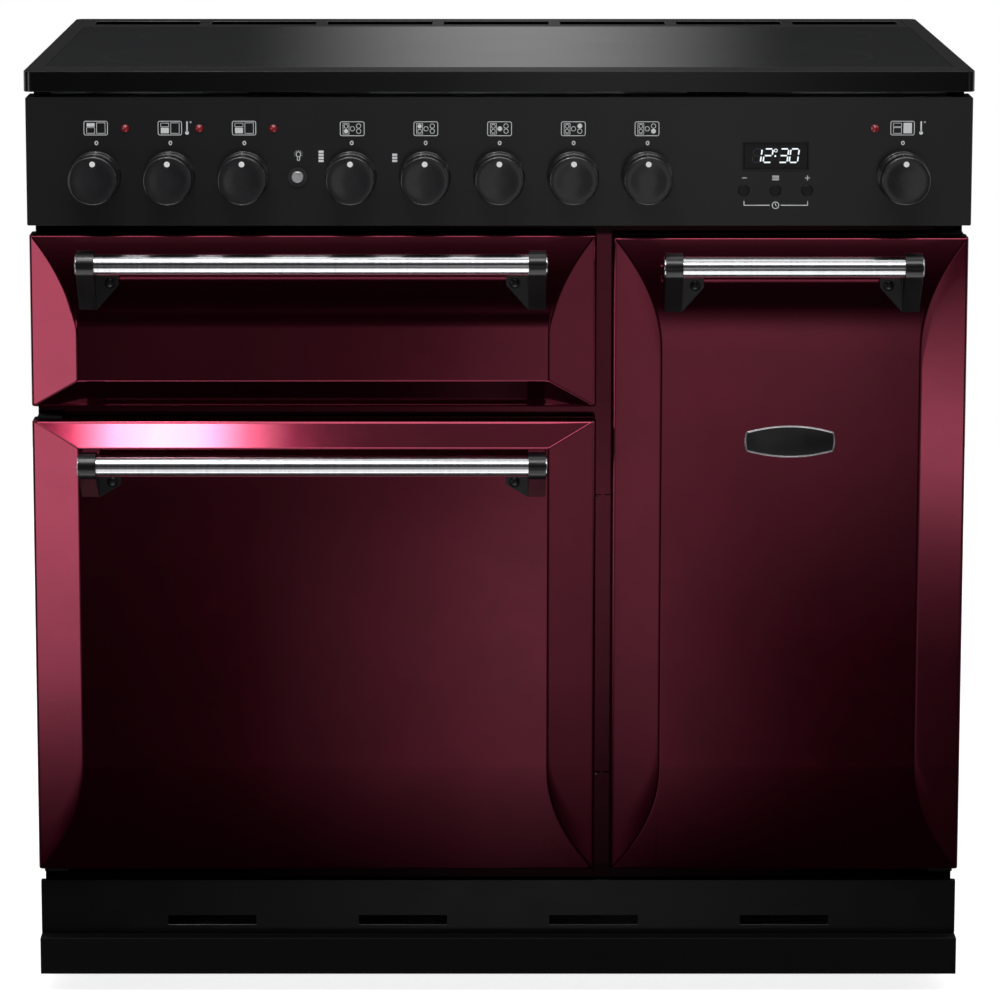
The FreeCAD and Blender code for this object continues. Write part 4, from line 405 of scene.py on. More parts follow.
BOW, GRILL_BEVEL, MAIN_BEVEL = ("bow", 0.108), ("bevel", 0.028), ("bevel", 0.0245)
hinge_slots = [(-0.4297, -0.4203), (0.0668, 0.0762)]
for name, span, rise, ends, low_wall, slots in (
    ("main_door", (-0.4465, 0.0930), (0.1265, 0.5696), (BOW, MAIN_BEVEL), -0.23975, []),
    ("tall_door", (0.1084, 0.4465), (0.1265, 0.7465), (BOW, BOW), -0.23975, []),
    ("grill_door", (-0.4465, 0.0930), (0.5826, 0.7489), (GRILL_BEVEL, BOW), -0.24575, hinge_slots),
):
    skin = door_skin(f"{name}_enamel_skin", *span, *rise, ends, low_wall, slots, name)
    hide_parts(f"{name}_panel")


# Door handles
# Each is a drawn stainless tube, polished and finely brushed round its girth, held in two cast collars
# with a leg to the door and a screwed lug beside it. The castings are powder coated black.
# Brushed stainless: a bright metal whose 0.3 mm grinding marks run round the tube.
stainless, tree, shader, place = finish("brushed_stainless_tube", {
    "Base Color": colour("c9c9cb"), "Metallic": 1.0, "Roughness": 0.17,
})
grain = add(tree, "ShaderNodeMapping", {"Scale": (900.0, 30.0, 30.0)}, {"Vector": place})
brushing = add(tree, "ShaderNodeTexNoise", {"Scale": 1.0, "Detail": 3.0}, {"Vector": grain.outputs["Vector"]})
steel_gloss = add(tree, "ShaderNodeMapRange", {"To Min": 0.12, "To Max": 0.24},
                  {"Value": brushing.outputs["Fac"]})
tree.links.new(steel_gloss.outputs["Result"], shader.inputs["Roughness"])
steel_tone = add(tree, "ShaderNodeValToRGB", links={"Fac": brushing.outputs["Fac"]})
steel_tone.color_ramp.elements[0].position = 0.25
steel_tone.color_ramp.elements[0].color = colour("bcbcbf")
steel_tone.color_ramp.elements[1].position = 0.75
steel_tone.color_ramp.elements[1].color = colour("d4d4d6")
tree.links.new(steel_tone.outputs["Color"], shader.inputs["Base Color"])
scratch = add(tree, "ShaderNodeBump", {"Strength": 0.06, "Distance": 0.0001},
              {"Height": brushing.outputs["Fac"]})
tree.links.new(scratch.outputs["Normal"], shader.inputs["Normal"])

# Black powder coat: a satin skin with a fine pebble about 0.6 mm across, thinner and a little shinier on
# edges.
casting, tree, shader, place = finish("black_powder_coat", {
    "Roughness": 0.3, "IOR": 1.45, "Coat Weight": 0.3, "Coat Roughness": 0.08,
})
pebble = add(tree, "ShaderNodeTexNoise", {"Scale": 1500.0, "Detail": 2.0}, {"Vector": place})
patchy = add(tree, "ShaderNodeTexNoise", {"Scale": 45.0, "Detail": 3.0}, {"Vector": place})
coat_tone = add(tree, "ShaderNodeValToRGB", links={"Fac": patchy.outputs["Fac"]})
coat_tone.color_ramp.elements[0].color = colour("040405")
coat_tone.color_ramp.elements[1].color = colour("09090b")
tree.links.new(coat_tone.outputs["Color"], shader.inputs["Base Color"])
coat_gloss = add(tree, "ShaderNodeMapRange", {"To Min": 0.24, "To Max": 0.38},
                 {"Value": patchy.outputs["Fac"]})
tree.links.new(coat_gloss.outputs["Result"], shader.inputs["Roughness"])
pebbled = add(tree, "ShaderNodeBump", {"Strength": 0.12, "Distance": 0.0002},
              {"Height": pebble.outputs["Fac"]})
tree.links.new(pebbled.outputs["Normal"], shader.inputs["Normal"])


def turned(name, outline, centre, axis, material, body, around=96):
    """A lathe shape: each (depth, radius) of the outline is swept round the axis through the centre."""
    outline = np.asarray(outline, float)
    angle = np.linspace(0, 2 * math.pi, around, endpoint=False)
    depth = np.repeat(outline[:, :1], around, 1)
    first, second = outline[:, 1:] * np.cos(angle), outline[:, 1:] * np.sin(angle)
    order = {"x": (depth, first, second), "y": (second, depth, first), "z": (first, second, depth)}[axis]
    points = np.stack(order, -1) + np.asarray(centre)
    piece = make_piece(name, points, grid_faces(len(outline), around, around=True)[:, ::-1], material, body)
    form = bmesh.new()
    form.from_mesh(piece.data)
    bmesh.ops.dissolve_degenerate(form, edges=form.edges, dist=1e-6)
    bmesh.ops.recalc_face_normals(form, faces=form.faces)
    form.to_mesh(piece.data)
    form.free()
    return piece


def rounded_corner(centre, radius, start, sweep, steps=5):
    """Points of a quarter turn, or part of one, for a lathe outline."""
    lean = np.radians(np.linspace(start, start + sweep, steps))
    return [(centre[0] + radius * math.cos(a), centre[1] + radius * math.sin(a)) for a in lean]


def softened(name, node, material, body, width, segments=3, angle=28):
    """A copy of a CAD node with its sharp edges rounded, as folding, casting or enamelling leaves them."""
    mesh = nodes[node].data.copy()
    if "custom_normal" in mesh.attributes:
        mesh.attributes.remove(mesh.attributes["custom_normal"])
    form = bmesh.new()
    form.from_mesh(mesh)
    bmesh.ops.remove_doubles(form, verts=form.verts, dist=1e-6)
    bmesh.ops.dissolve_limit(form, angle_limit=math.radians(0.6), verts=form.verts, edges=form.edges)
    form.to_mesh(mesh)
    form.free()
    mesh.name = name
    mesh.materials.clear()
    mesh.materials.append(material)
    mesh.shade_smooth()
    piece = bpy.data.objects.new(name, mesh)
    bpy.context.scene.collection.objects.link(piece)
    edge = piece.modifiers.new("soft_edges", "BEVEL")
    edge.width = width
    edge.segments = segments
    edge.limit_method = "ANGLE"
    edge.angle_limit = math.radians(angle)
    edge.use_clamp_overlap = True
    edge.harden_normals = True
    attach(piece, body)
    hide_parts(node)
    return piece


for door, left, length, bar_y, bar_z in (
    ("grill_door", -0.39925, 0.445, -0.30375, 0.7253),
    ("main_door", -0.39925, 0.445, -0.31075, 0.5338),
    ("tall_door", 0.15505, 0.2448, -0.30375, 0.7229),
):
    bevel = 0.0009
    outline = [(0.0, 0.0), (0.0, 0.0088)] + rounded_corner((bevel, 0.0100 - bevel), bevel, 180, -90)
    outline += [(length * share, 0.0100) for share in (0.04, 0.25, 0.5, 0.75, 0.96)]
    outline += rounded_corner((length - bevel, 0.0100 - bevel), bevel, 90, -90) + [(length, 0.0088),
                                                                                   (length, 0.0)]
    tube = turned(f"{door}_tube", outline, (left, bar_y, bar_z), "x", stainless, door, around=64)
    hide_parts(f"{door}_handle_bar")
    cast = softened(f"{door}_castings", f"{door}_handle_brackets", casting, door, 0.0009)
    for end, side in ((left + 0.0015, 1), (left + length - 0.0015, -1)):
        screw = [(0.0, 0.0), (0.0, 0.0034), (0.0006, 0.0043), (0.0012, 0.0043), (0.0012, 0.0)]
        screw_x = end + side * (0.0165 + 0.021 * 0.6)
        head = turned(f"{door}_screw_{'left' if side > 0 else 'right'}", screw,
                      (screw_x, -0.2828, bar_z - 0.0135 - 0.0067), "y", casting, door, around=32)


# Knobs
# Nine push-on knobs moulded in black thermoset, each with a skirt, a step behind and a cap whose edge is
# rounded and polished by the mould. A white dot is filled into the face.
# Satin thermoset: near-black, smooth, with flow marks a few centimetres long and a dusting of fine pits.
thermoset, tree, shader, place = finish("satin_black_thermoset", {
    "Roughness": 0.3, "IOR": 1.5, "Coat Weight": 0.5, "Coat Roughness": 0.06,
})
flow = add(tree, "ShaderNodeTexNoise", {"Scale": 55.0, "Detail": 3.0}, {"Vector": place})
flow_tone = add(tree, "ShaderNodeValToRGB", links={"Fac": flow.outputs["Fac"]})
flow_tone.color_ramp.elements[0].color = colour("131315")
flow_tone.color_ramp.elements[1].color = colour("1d1d20")
tree.links.new(flow_tone.outputs["Color"], shader.inputs["Base Color"])
flow_gloss = add(tree, "ShaderNodeMapRange", {"To Min": 0.2, "To Max": 0.34}, {"Value": flow.outputs["Fac"]})
tree.links.new(flow_gloss.outputs["Result"], shader.inputs["Roughness"])
pits = add(tree, "ShaderNodeTexNoise", {"Scale": 2200.0, "Detail": 1.0}, {"Vector": place})
pitted = add(tree, "ShaderNodeBump", {"Strength": 0.08, "Distance": 0.0001}, {"Height": pits.outputs["Fac"]})
tree.links.new(pitted.outputs["Normal"], shader.inputs["Normal"])

# White filling paint: a soft matt white with slight grain.
white_fill, tree, shader, place = finish("white_filling_paint", {"Roughness": 0.5, "IOR": 1.45})
speck = add(tree, "ShaderNodeTexNoise", {"Scale": 900.0, "Detail": 2.0}, {"Vector": place})
fill_tone = add(tree, "ShaderNodeValToRGB", links={"Fac": speck.outputs["Fac"]})
fill_tone.color_ramp.elements[0].color = colour("e8e8e6")
fill_tone.color_ramp.elements[1].color = colour("fbfbfa")
tree.links.new(fill_tone.outputs["Color"], shader.inputs["Base Color"])

KNOB_PLACES = {
    "knob_grill": -0.3816, "knob_main_oven_temperature": -0.3116, "knob_main_oven_function": -0.2416,
    "knob_hob_left_front": -0.1400, "knob_hob_left_rear": -0.0700, "knob_hob_centre": 0.0,
    "knob_hob_right_rear": 0.0700, "knob_hob_right_front": 0.1400, "knob_tall_oven": 0.3816,
}
# Depth from the knob's front face, then radius: dished face, rounded cap edge, wall, step and skirt.
knob_outline = [(0.0005, 0.0), (0.0005, 0.006), (0.0004, 0.011), (0.00015, 0.016), (0.0, 0.0212)]
knob_outline += rounded_corner((0.0020, 0.0212), 0.0020, 180, -90, steps=9)
knob_outline += [(0.010, 0.02325), (0.0212, 0.0233), (0.0217, 0.0231), (0.0219, 0.0227), (0.0223, 0.0228)]
knob_outline += rounded_corner((0.0232, 0.0230), 0.0009, 180, -90, steps=5)
knob_outline += [(0.0332, 0.0239), (0.0336, 0.0237), (0.0338, 0.0237)]
knob_outline += rounded_corner((0.0345, 0.0236), 0.0007, 180, -90, steps=5)
for name, place_x in KNOB_PLACES.items():
    low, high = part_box(name)
    front, back = low[1], high[1]
    outline = knob_outline + [(back - front - 0.0005, 0.0243), (back - front, 0.0240),
                              (back - front, 0.0200), (back - front, 0.0)]
    knob = turned(f"{name}_moulding", outline, (place_x, front, 0.805), "y", thermoset, name)
    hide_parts(name)
    turn = np.linspace(0, 2 * math.pi, 28, endpoint=False)
    rings = np.array([0.0, 0.0011, 0.0021, 0.0027])[:, None]
    dot_x, dot_z = rings * np.cos(turn), 0.0158 + rings * np.sin(turn)
    reach = np.hypot(dot_x, dot_z)
    depth = np.interp(reach, [item[1] for item in knob_outline[:8]], [item[0] for item in knob_outline[:8]])
    dot = np.stack([place_x + dot_x, front + depth - 0.00008, 0.805 + dot_z], -1)
    mark = make_piece(f"{name}_dot", dot, grid_faces(4, 28, around=True)[:, ::-1], white_fill, name)


# Control panel
# A folded steel fascia in satin black enamel, with the symbols screen printed in light grey.
# Satin black enamel: even and dark grey, with a fine orange peel and a slow change of tone.
panel_enamel, tree, shader, place = finish("satin_black_enamel", {
    "Roughness": 0.3, "IOR": 1.5,
})
drift = add(tree, "ShaderNodeTexNoise", {"Scale": 6.0, "Detail": 3.0}, {"Vector": place})
panel_tone = add(tree, "ShaderNodeValToRGB", links={"Fac": drift.outputs["Fac"]})
panel_tone.color_ramp.elements[0].color = colour("151517")
panel_tone.color_ramp.elements[1].color = colour("1e1e20")
tree.links.new(panel_tone.outputs["Color"], shader.inputs["Base Color"])
grit = add(tree, "ShaderNodeTexNoise", {"Scale": 1300.0, "Detail": 2.0}, {"Vector": place})
panel_gloss = add(tree, "ShaderNodeMapRange", {"To Min": 0.18, "To Max": 0.26},
                  {"Value": grit.outputs["Fac"]})
tree.links.new(panel_gloss.outputs["Result"], shader.inputs["Roughness"])
gritty = add(tree, "ShaderNodeBump", {"Strength": 0.12, "Distance": 0.00012}, {"Height": grit.outputs["Fac"]})
tree.links.new(gritty.outputs["Normal"], shader.inputs["Normal"])
fascia = softened("panel_fascia", "control_panel", panel_enamel, "root", 0.0008)

print_points, print_faces = [], []


def put(points, faces):
    """Adds flat points (x, z) and their faces to the print."""
    start = sum(len(item) for item in print_points)
    print_points.append(np.asarray(points, float))
    print_faces.extend([[corner + start for corner in face] for face in faces])


def line(points, width, closed=False):
    """A printed line: every point is moved half the width to both sides along its corner's bisector."""
    points = np.asarray(points, float)
    before = np.roll(points, 1, 0) if closed else np.vstack([points[:1] * 2 - points[1:2], points[:-1]])
    after = np.roll(points, -1, 0) if closed else np.vstack([points[1:], points[-1:] * 2 - points[-2:-1]])
    arrive = (points - before) / np.linalg.norm(points - before, axis=1, keepdims=True)
    leave = (after - points) / np.linalg.norm(after - points, axis=1, keepdims=True)
    bisector = np.stack([-(arrive + leave)[:, 1], (arrive + leave)[:, 0]], -1)
    bisector /= np.linalg.norm(bisector, axis=1, keepdims=True)
    spread = width / 2 / np.maximum(np.sum(bisector * np.stack([-arrive[:, 1], arrive[:, 0]], -1), 1), 0.3)
    sides = np.concatenate([points - bisector * spread[:, None], points + bisector * spread[:, None]])
    put(sides, grid_faces(2, len(points), around=closed).tolist())


def patch(points):
    """A filled outline, given anticlockwise."""
    put(points, [list(range(len(points)))])


def oval(x, z, wide, high, steps=28):
    turn = np.linspace(0, 2 * math.pi, steps, endpoint=False)
    return np.stack([x + wide * np.cos(turn), z + high * np.sin(turn)], -1)


def round_box(x, z, half_wide, half_high, radius):
    """A rectangle about (x, z) with quarter-circle corners, anticlockwise."""
    corners = []
    for start, side_x, side_z in ((-90, 1, -1), (0, 1, 1), (90, -1, 1), (180, -1, -1)):
        lean = np.radians(np.linspace(start, start + 90, 6))
        corners.append(np.stack([x + side_x * (half_wide - radius) + radius * np.cos(lean),
                                 z + side_z * (half_high - radius) + radius * np.sin(lean)], -1))
    return np.concatenate(corners)


STROKE = 0.0006
for place_x, filled in ((-0.3808, "grill"), (-0.3108, "main"), (-0.2408, "main"), (0.3808, "tall")):
    icon_z = 0.8511
    line(round_box(place_x, icon_z, 0.0111, 0.0065, 0.0017), STROKE, closed=True)
    for part, x, z, half_wide, half_high in (
        ("grill", -0.00477, 0.00305, 0.0038, 0.0017), ("main", -0.00477, -0.00225, 0.0038, 0.0027),
        ("tall", 0.00482, 0.0, 0.0040, 0.0050),
    ):
        if part == filled:
            patch(round_box(place_x + x, icon_z + z, half_wide, half_high, 0.0003))
        else:
            line(round_box(place_x + x, icon_z + z, half_wide, half_high, 0.0002), 0.00045, closed=True)
for place_x in (-0.2946, 0.3983):
    stem = [(place_x - 0.0007, 0.8575), (place_x - 0.0007, 0.8475), (place_x + 0.0007, 0.8475),
            (place_x + 0.0007, 0.8575)]
    patch(stem)
    patch(oval(place_x, 0.8467, 0.0018, 0.0018))
    line(oval(place_x + 0.0034, 0.8567, 0.0007, 0.0007, 16), 0.0004, closed=True)
hob_zones = {"left_rear": (-0.00585, 0.0023), "left_front": (-0.00585, -0.0023), "centre": (0.0002, 0.0),
             "right_rear": (0.0061, 0.0026), "right_front": (0.0061, -0.0023)}
for place_x, filled in ((-0.1387, "left_front"), (-0.0692, "left_rear"), (0.0004, "centre"),
                        (0.0700, "right_rear"), (0.1396, "right_front")):
    icon_z = 0.8505
    line(round_box(place_x, icon_z, 0.0113, 0.0066, 0.0018), STROKE, closed=True)
    line(round_box(place_x - 0.00585, icon_z, 0.0028, 0.0051, 0.0002), 0.00045, closed=True)
    for zone, (x, z) in hob_zones.items():
        size = 0.0018 if zone.startswith("left") else 0.0021
        if zone == filled:
            patch(oval(place_x + x, icon_z + z, size + 0.0002, size + 0.0002))
        else:
            line(oval(place_x + x, icon_z + z, size, size), 0.0005, closed=True)
for place_x in KNOB_PLACES.values():
    line(oval(place_x * 0.998 + 0.0005, 0.8370, 0.00125, 0.00165), 0.0009, closed=True)
for place_x, low_z, count in ((-0.1682, 0.8189, 4), (-0.0986, 0.8189, 3)):
    for step in range(count):
        bar_z = low_z + 0.0029 * step
        patch([(place_x - 0.0024, bar_z), (place_x + 0.0024, bar_z), (place_x + 0.0024, bar_z + 0.0022),
               (place_x - 0.0024, bar_z + 0.0022)])
bulb_x, bulb_z = -0.1896, 0.8262
line(oval(bulb_x, bulb_z, 0.0021, 0.0024), 0.0006, closed=True)
line([(bulb_x - 0.0012, bulb_z - 0.0022), (bulb_x - 0.0010, bulb_z - 0.0056),
      (bulb_x + 0.0010, bulb_z - 0.0056),
      (bulb_x + 0.0012, bulb_z - 0.0022)], 0.0006)
for lean in np.radians((-20, 20, 55, 90, 125, 160, 200)):
    start, stop = 0.0031, 0.0041
    line([(bulb_x + start * math.cos(lean), bulb_z + start * math.sin(lean)),
          (bulb_x + stop * math.cos(lean), bulb_z + stop * math.sin(lean))], 0.0004)
for sign, x in (("minus", 0.2320), ("plus", 0.2916)):
    line([(x - 0.0024, 0.8038), (x + 0.0024, 0.8038)], 0.0006)
    if sign == "plus":
        line([(x, 0.8014), (x, 0.8062)], 0.0006)
for step in (-1, 0, 1):
    line([(0.2581, 0.8038 + 0.0017 * step), (0.2647, 0.8038 + 0.0017 * step)], 0.0008)
bracket_z = 0.7778
line([(0.2318, bracket_z + 0.0040), (0.2318, bracket_z), (0.2562, bracket_z)], 0.0007)
line([(0.2666, bracket_z), (0.2920, bracket_z), (0.2920, bracket_z + 0.0040)], 0.0007)
line(oval(0.2616, bracket_z, 0.0031, 0.0031), 0.0007, closed=True)
line([(0.2616, bracket_z + 0.0019), (0.2616, bracket_z), (0.2628, bracket_z - 0.0008)], 0.0006)

# Screen-print ink: a thin light grey film, slightly grainy.
ink, tree, shader, place = finish("light_grey_print", {"Roughness": 0.45, "IOR": 1.45})
speck = add(tree, "ShaderNodeTexNoise", {"Scale": 1200.0, "Detail": 2.0}, {"Vector": place})
ink_tone = add(tree, "ShaderNodeValToRGB", links={"Fac": speck.outputs["Fac"]})
ink_tone.color_ramp.elements[0].color = colour("e2e4e6")
ink_tone.color_ramp.elements[1].color = colour("f4f5f6")
tree.links.new(ink_tone.outputs["Color"], shader.inputs["Base Color"])


def print_film(name, material, body, front):
    """Turns the lines and patches put down so far into one thin film with its face at the given depth."""
    flat = np.concatenate(print_points)
    points = np.stack([flat[:, 0], np.full(len(flat), front), flat[:, 1]], -1)
    film = make_piece(name, points, print_faces, material, body, merge=False)
    film.data.shade_flat()
    skin = film.modifiers.new("film", "SOLIDIFY")
    skin.thickness = 0.00004
    skin.offset = -1.0
    print_points.clear()
    print_faces.clear()
    return film


symbols = print_film("panel_symbols", ink, "root", -0.27182)


# Clock
# A moulded black surround with a smoked window over the display, which shows four slanted digits; three
# small recessed push buttons stand below it.
# Black moulding compound: satin, with fine grain.
moulding, tree, shader, place = finish("black_moulding", {"Roughness": 0.3, "IOR": 1.5})
grain = add(tree, "ShaderNodeTexNoise", {"Scale": 1600.0, "Detail": 2.0}, {"Vector": place})
grain_tone = add(tree, "ShaderNodeValToRGB", links={"Fac": grain.outputs["Fac"]})
grain_tone.color_ramp.elements[0].color = colour("0d0d0e")
grain_tone.color_ramp.elements[1].color = colour("151517")
tree.links.new(grain_tone.outputs["Color"], shader.inputs["Base Color"])
grained = add(tree, "ShaderNodeBump", {"Strength": 0.1, "Distance": 0.0001}, {"Height": grain.outputs["Fac"]})
tree.links.new(grained.outputs["Normal"], shader.inputs["Normal"])
surround = softened("clock_surround", "clock_module", moulding, "root", 0.0005)
for end in ("minus", "select", "plus"):
    cap = softened(f"clock_{end}_cap", f"clock_button_{end}", moulding, f"clock_button_{end}", 0.0006)

# Seven-segment display: each lit segment is a pale blue-white bar that gives its own light; the unlit
# ones show faintly.
lit_segment, tree, shader, place = finish("lit_display_segment", {
    "Base Color": colour("cfd8dc"), "Roughness": 0.4, "Emission Color": colour("e6f0f4"),
    "Emission Strength": 0.75,
})
bloom = add(tree, "ShaderNodeTexNoise", {"Scale": 700.0, "Detail": 1.0}, {"Vector": place})
bloom_tone = add(tree, "ShaderNodeValToRGB", links={"Fac": bloom.outputs["Fac"]})
bloom_tone.color_ramp.elements[0].color = colour("c3ced4")
bloom_tone.color_ramp.elements[1].color = colour("e4edf0")
tree.links.new(bloom_tone.outputs["Color"], shader.inputs["Base Color"])
unlit_segment, tree, shader, place = finish("unlit_display_segment", {"Roughness": 0.4})
shade = add(tree, "ShaderNodeTexNoise", {"Scale": 700.0, "Detail": 1.0}, {"Vector": place})
shade_tone = add(tree, "ShaderNodeValToRGB", links={"Fac": shade.outputs["Fac"]})
shade_tone.color_ramp.elements[0].color = colour("26282a")
shade_tone.color_ramp.elements[1].color = colour("2f3133")
tree.links.new(shade_tone.outputs["Color"], shader.inputs["Base Color"])

DIGIT_WIDE, DIGIT_HIGH, SLANT = 0.0078, 0.0128, 0.13
SEGMENT_ENDS = {
    "top": ((0, 1), (1, 1)), "upper_right": ((1, 1), (1, 0.5)), "lower_right": ((1, 0.5), (1, 0)),
    "bottom": ((1, 0), (0, 0)), "lower_left": ((0, 0), (0, 0.5)), "upper_left": ((0, 0.5), (0, 1)),
    "middle": ((0, 0.5), (1, 0.5)),
}
LIT = {
    "1": ("upper_right", "lower_right"), "2": ("top", "upper_right", "middle", "lower_left", "bottom"),
    "3": ("top", "upper_right", "middle", "lower_right", "bottom"),
    "0": ("top", "upper_right", "lower_right", "bottom", "lower_left", "upper_left"),
}
for state, material in (("lit", lit_segment), ("unlit", unlit_segment)):
    for digit, left in zip("1230", (0.2391, 0.2494, 0.2642, 0.2741)):
        for name, ends in SEGMENT_ENDS.items():
            if (name in LIT[digit]) != (state == "lit"):
                continue
            first, last = (np.array(end, float) * (DIGIT_WIDE, DIGIT_HIGH) for end in ends)
            step = (last - first) / np.linalg.norm(last - first) * 0.0009
            run = np.array([first + step, last - step])
            run[:, 0] += left + run[:, 1] * SLANT
            run[:, 1] += 0.8186
            line(run, 0.0013)
    if state == "lit":
        patch(oval(0.2609, 0.8246, 0.0009, 0.0009, 16))
        line(oval(0.2614, 0.8298, 0.0014, 0.0014, 20), 0.0006, closed=True)
    digits = print_film(f"clock_{state}_segments", material, "root", -0.27182)


# Neons and the light button
# Four red faceted lenses pressed into the panel, and a domed chrome push button in a black bezel.
# Red moulded lens: deep clear red with a soft glow behind it.
lens_red, tree, shader, place = finish("red_moulded_lens", {
    "Roughness": 0.08, "IOR": 1.49, "Emission Color": colour("a0121f"), "Emission Strength": 0.13,
})
streak = add(tree, "ShaderNodeTexNoise", {"Scale": 500.0, "Detail": 2.0}, {"Vector": place})
lens_tone = add(tree, "ShaderNodeValToRGB", links={"Fac": streak.outputs["Fac"]})
lens_tone.color_ramp.elements[0].color = colour("5c0a12")
lens_tone.color_ramp.elements[1].color = colour("8e1625")
tree.links.new(lens_tone.outputs["Color"], shader.inputs["Base Color"])
for count, place_x in enumerate((-0.353, -0.283, -0.213, 0.3546)):
    facets = [(-0.0012, 0.0), (-0.0012, 0.0010), (-0.0006, 0.0024), (0.0, 0.0035), (0.0009, 0.00378),
              (0.0030, 0.00378)]
    gem = turned(f"neon_lens_{count + 1}", facets, (place_x, -0.27335, 0.851), "y", lens_red, "root",
                 around=10)
    gem.data.shade_flat()

# Satin chrome on a moulded cap: a soft silver with a fine frosting, brighter where the edge is worn smooth.
chrome, tree, shader, place = finish("satin_chrome_cap", {"Metallic": 0.4, "IOR": 1.5})
haze = add(tree, "ShaderNodeTexNoise", {"Scale": 300.0, "Detail": 4.0}, {"Vector": place})
haze_gloss = add(tree, "ShaderNodeMapRange", {"To Min": 0.16, "To Max": 0.34}, {"Value": haze.outputs["Fac"]})
tree.links.new(haze_gloss.outputs["Result"], shader.inputs["Roughness"])
haze_tone = add(tree, "ShaderNodeValToRGB", links={"Fac": haze.outputs["Fac"]})
haze_tone.color_ramp.elements[0].color = colour("b4b4b8")
haze_tone.color_ramp.elements[1].color = colour("d6d6d8")
tree.links.new(haze_tone.outputs["Color"], shader.inputs["Base Color"])
low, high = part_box("oven_light_button")
front, back = low[1], high[1]
dome = [(0.0004, 0.0), (0.0004, 0.0020), (0.0003, 0.0036), (0.0, 0.0046), (0.0001, 0.0050), (0.0006, 0.0054),
        (0.0016, 0.0057), (0.0082, 0.0057), (0.0086, 0.0053), (0.0086, 0.0025), (back - front, 0.0025),
        (back - front, 0.0)]
push = turned("light_button_cap", dome, (-0.1905, front, (low[2] + high[2]) / 2), "y", chrome,
              "oven_light_button", around=48)
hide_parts("oven_light_button")


# Hob
# A one-piece enamelled surround with the black ceramic glass set flush in it, and a slotted vent deck
# along the back. The cooking zones are printed on the glass.
# Gloss black enamel: deep black under a clear glaze, with fine peel.
black_enamel, tree, shader, place = finish("gloss_black_enamel", {
    "Roughness": 0.3, "IOR": 1.4, "Coat Weight": 0.15, "Coat Roughness": 0.05,
})
cloud = add(tree, "ShaderNodeTexNoise", {"Scale": 20.0, "Detail": 3.0}, {"Vector": place})
enamel_tone = add(tree, "ShaderNodeValToRGB", links={"Fac": cloud.outputs["Fac"]})
enamel_tone.color_ramp.elements[0].color = colour("060607")
enamel_tone.color_ramp.elements[1].color = colour("0a0a0b")
tree.links.new(enamel_tone.outputs["Color"], shader.inputs["Base Color"])
peel = add(tree, "ShaderNodeTexNoise", {"Scale": 600.0, "Detail": 2.0}, {"Vector": place})
level = add(tree, "ShaderNodeSeparateXYZ", links={"Vector": add(tree,
                                                                "ShaderNodeNewGeometry").outputs["Normal"]})
worn = add(tree, "ShaderNodeMapRange", {"From Min": 0.97, "From Max": 0.999, "To Min": 0.14, "To Max": 0.44},
           {"Value": level.outputs["Z"]})
peel_gloss = add(tree, "ShaderNodeMath", {"operation": "MULTIPLY_ADD", 1: 0.08},
                 {0: peel.outputs["Fac"], 2: worn.outputs[0]})
tree.links.new(peel_gloss.outputs[0], shader.inputs["Roughness"])
peeled = add(tree, "ShaderNodeBump", {"Strength": 0.06, "Distance": 0.0001}, {"Height": peel.outputs["Fac"]})
tree.links.new(peeled.outputs["Normal"], shader.inputs["Normal"])
surround = softened("hob_surround", "hob_frame", black_enamel, "root", 0.0016)
deck = softened("vent_cover", "vent_deck", black_enamel, "root", 0.0008)

# Black ceramic glass: almost a mirror at a low slant, with grey zone rings printed about 2 mm wide.
ceramic, tree, shader, place = finish("black_ceramic_glass", {"Roughness": 0.09, "IOR": 1.5})
zone_at = add(tree, "ShaderNodeSeparateXYZ", links={"Vector": place})
rings = None
for x, y, radius in ((-0.290, -0.118, 0.094), (-0.290, 0.112, 0.074), (0.0, -0.003, 0.112),
                     (0.290, 0.112, 0.094),
                     (0.290, -0.118, 0.074)):
    off_x = add(tree, "ShaderNodeMath", {"operation": "SUBTRACT", 1: x}, {0: zone_at.outputs["X"]})
    off_y = add(tree, "ShaderNodeMath", {"operation": "SUBTRACT", 1: y}, {0: zone_at.outputs["Y"]})
    spot = add(tree, "ShaderNodeCombineXYZ", links={"X": off_x.outputs[0], "Y": off_y.outputs[0]})
    reach = add(tree, "ShaderNodeVectorMath", {"operation": "LENGTH"}, {0: spot.outputs[0]})
    band = add(tree, "ShaderNodeMath", {"operation": "COMPARE", 1: radius, 2: 0.0008},
               {0: reach.outputs["Value"]})
    joined = add(tree, "ShaderNodeMath", {"operation": "MAXIMUM"}, {0: band.outputs[0]})
    if rings is not None:
        tree.links.new(rings, joined.inputs[1])
    rings = joined.outputs[0]
print_mix = add(tree, "ShaderNodeMix", {"data_type": "RGBA", 6: colour("050506"), 7: colour("4a4b4d")},
                {0: rings})
tree.links.new(print_mix.outputs[2], shader.inputs["Base Color"])
smear = add(tree, "ShaderNodeTexNoise", {"Scale": 7.0, "Detail": 3.0}, {"Vector": place})
glass_gloss = add(tree, "ShaderNodeMapRange", {"To Min": 0.07, "To Max": 0.13},
                  {"Value": smear.outputs["Fac"]})
tree.links.new(glass_gloss.outputs["Result"], shader.inputs["Roughness"])
glass = softened("ceramic_plate", "hob_glass", ceramic, "root", 0.0006)


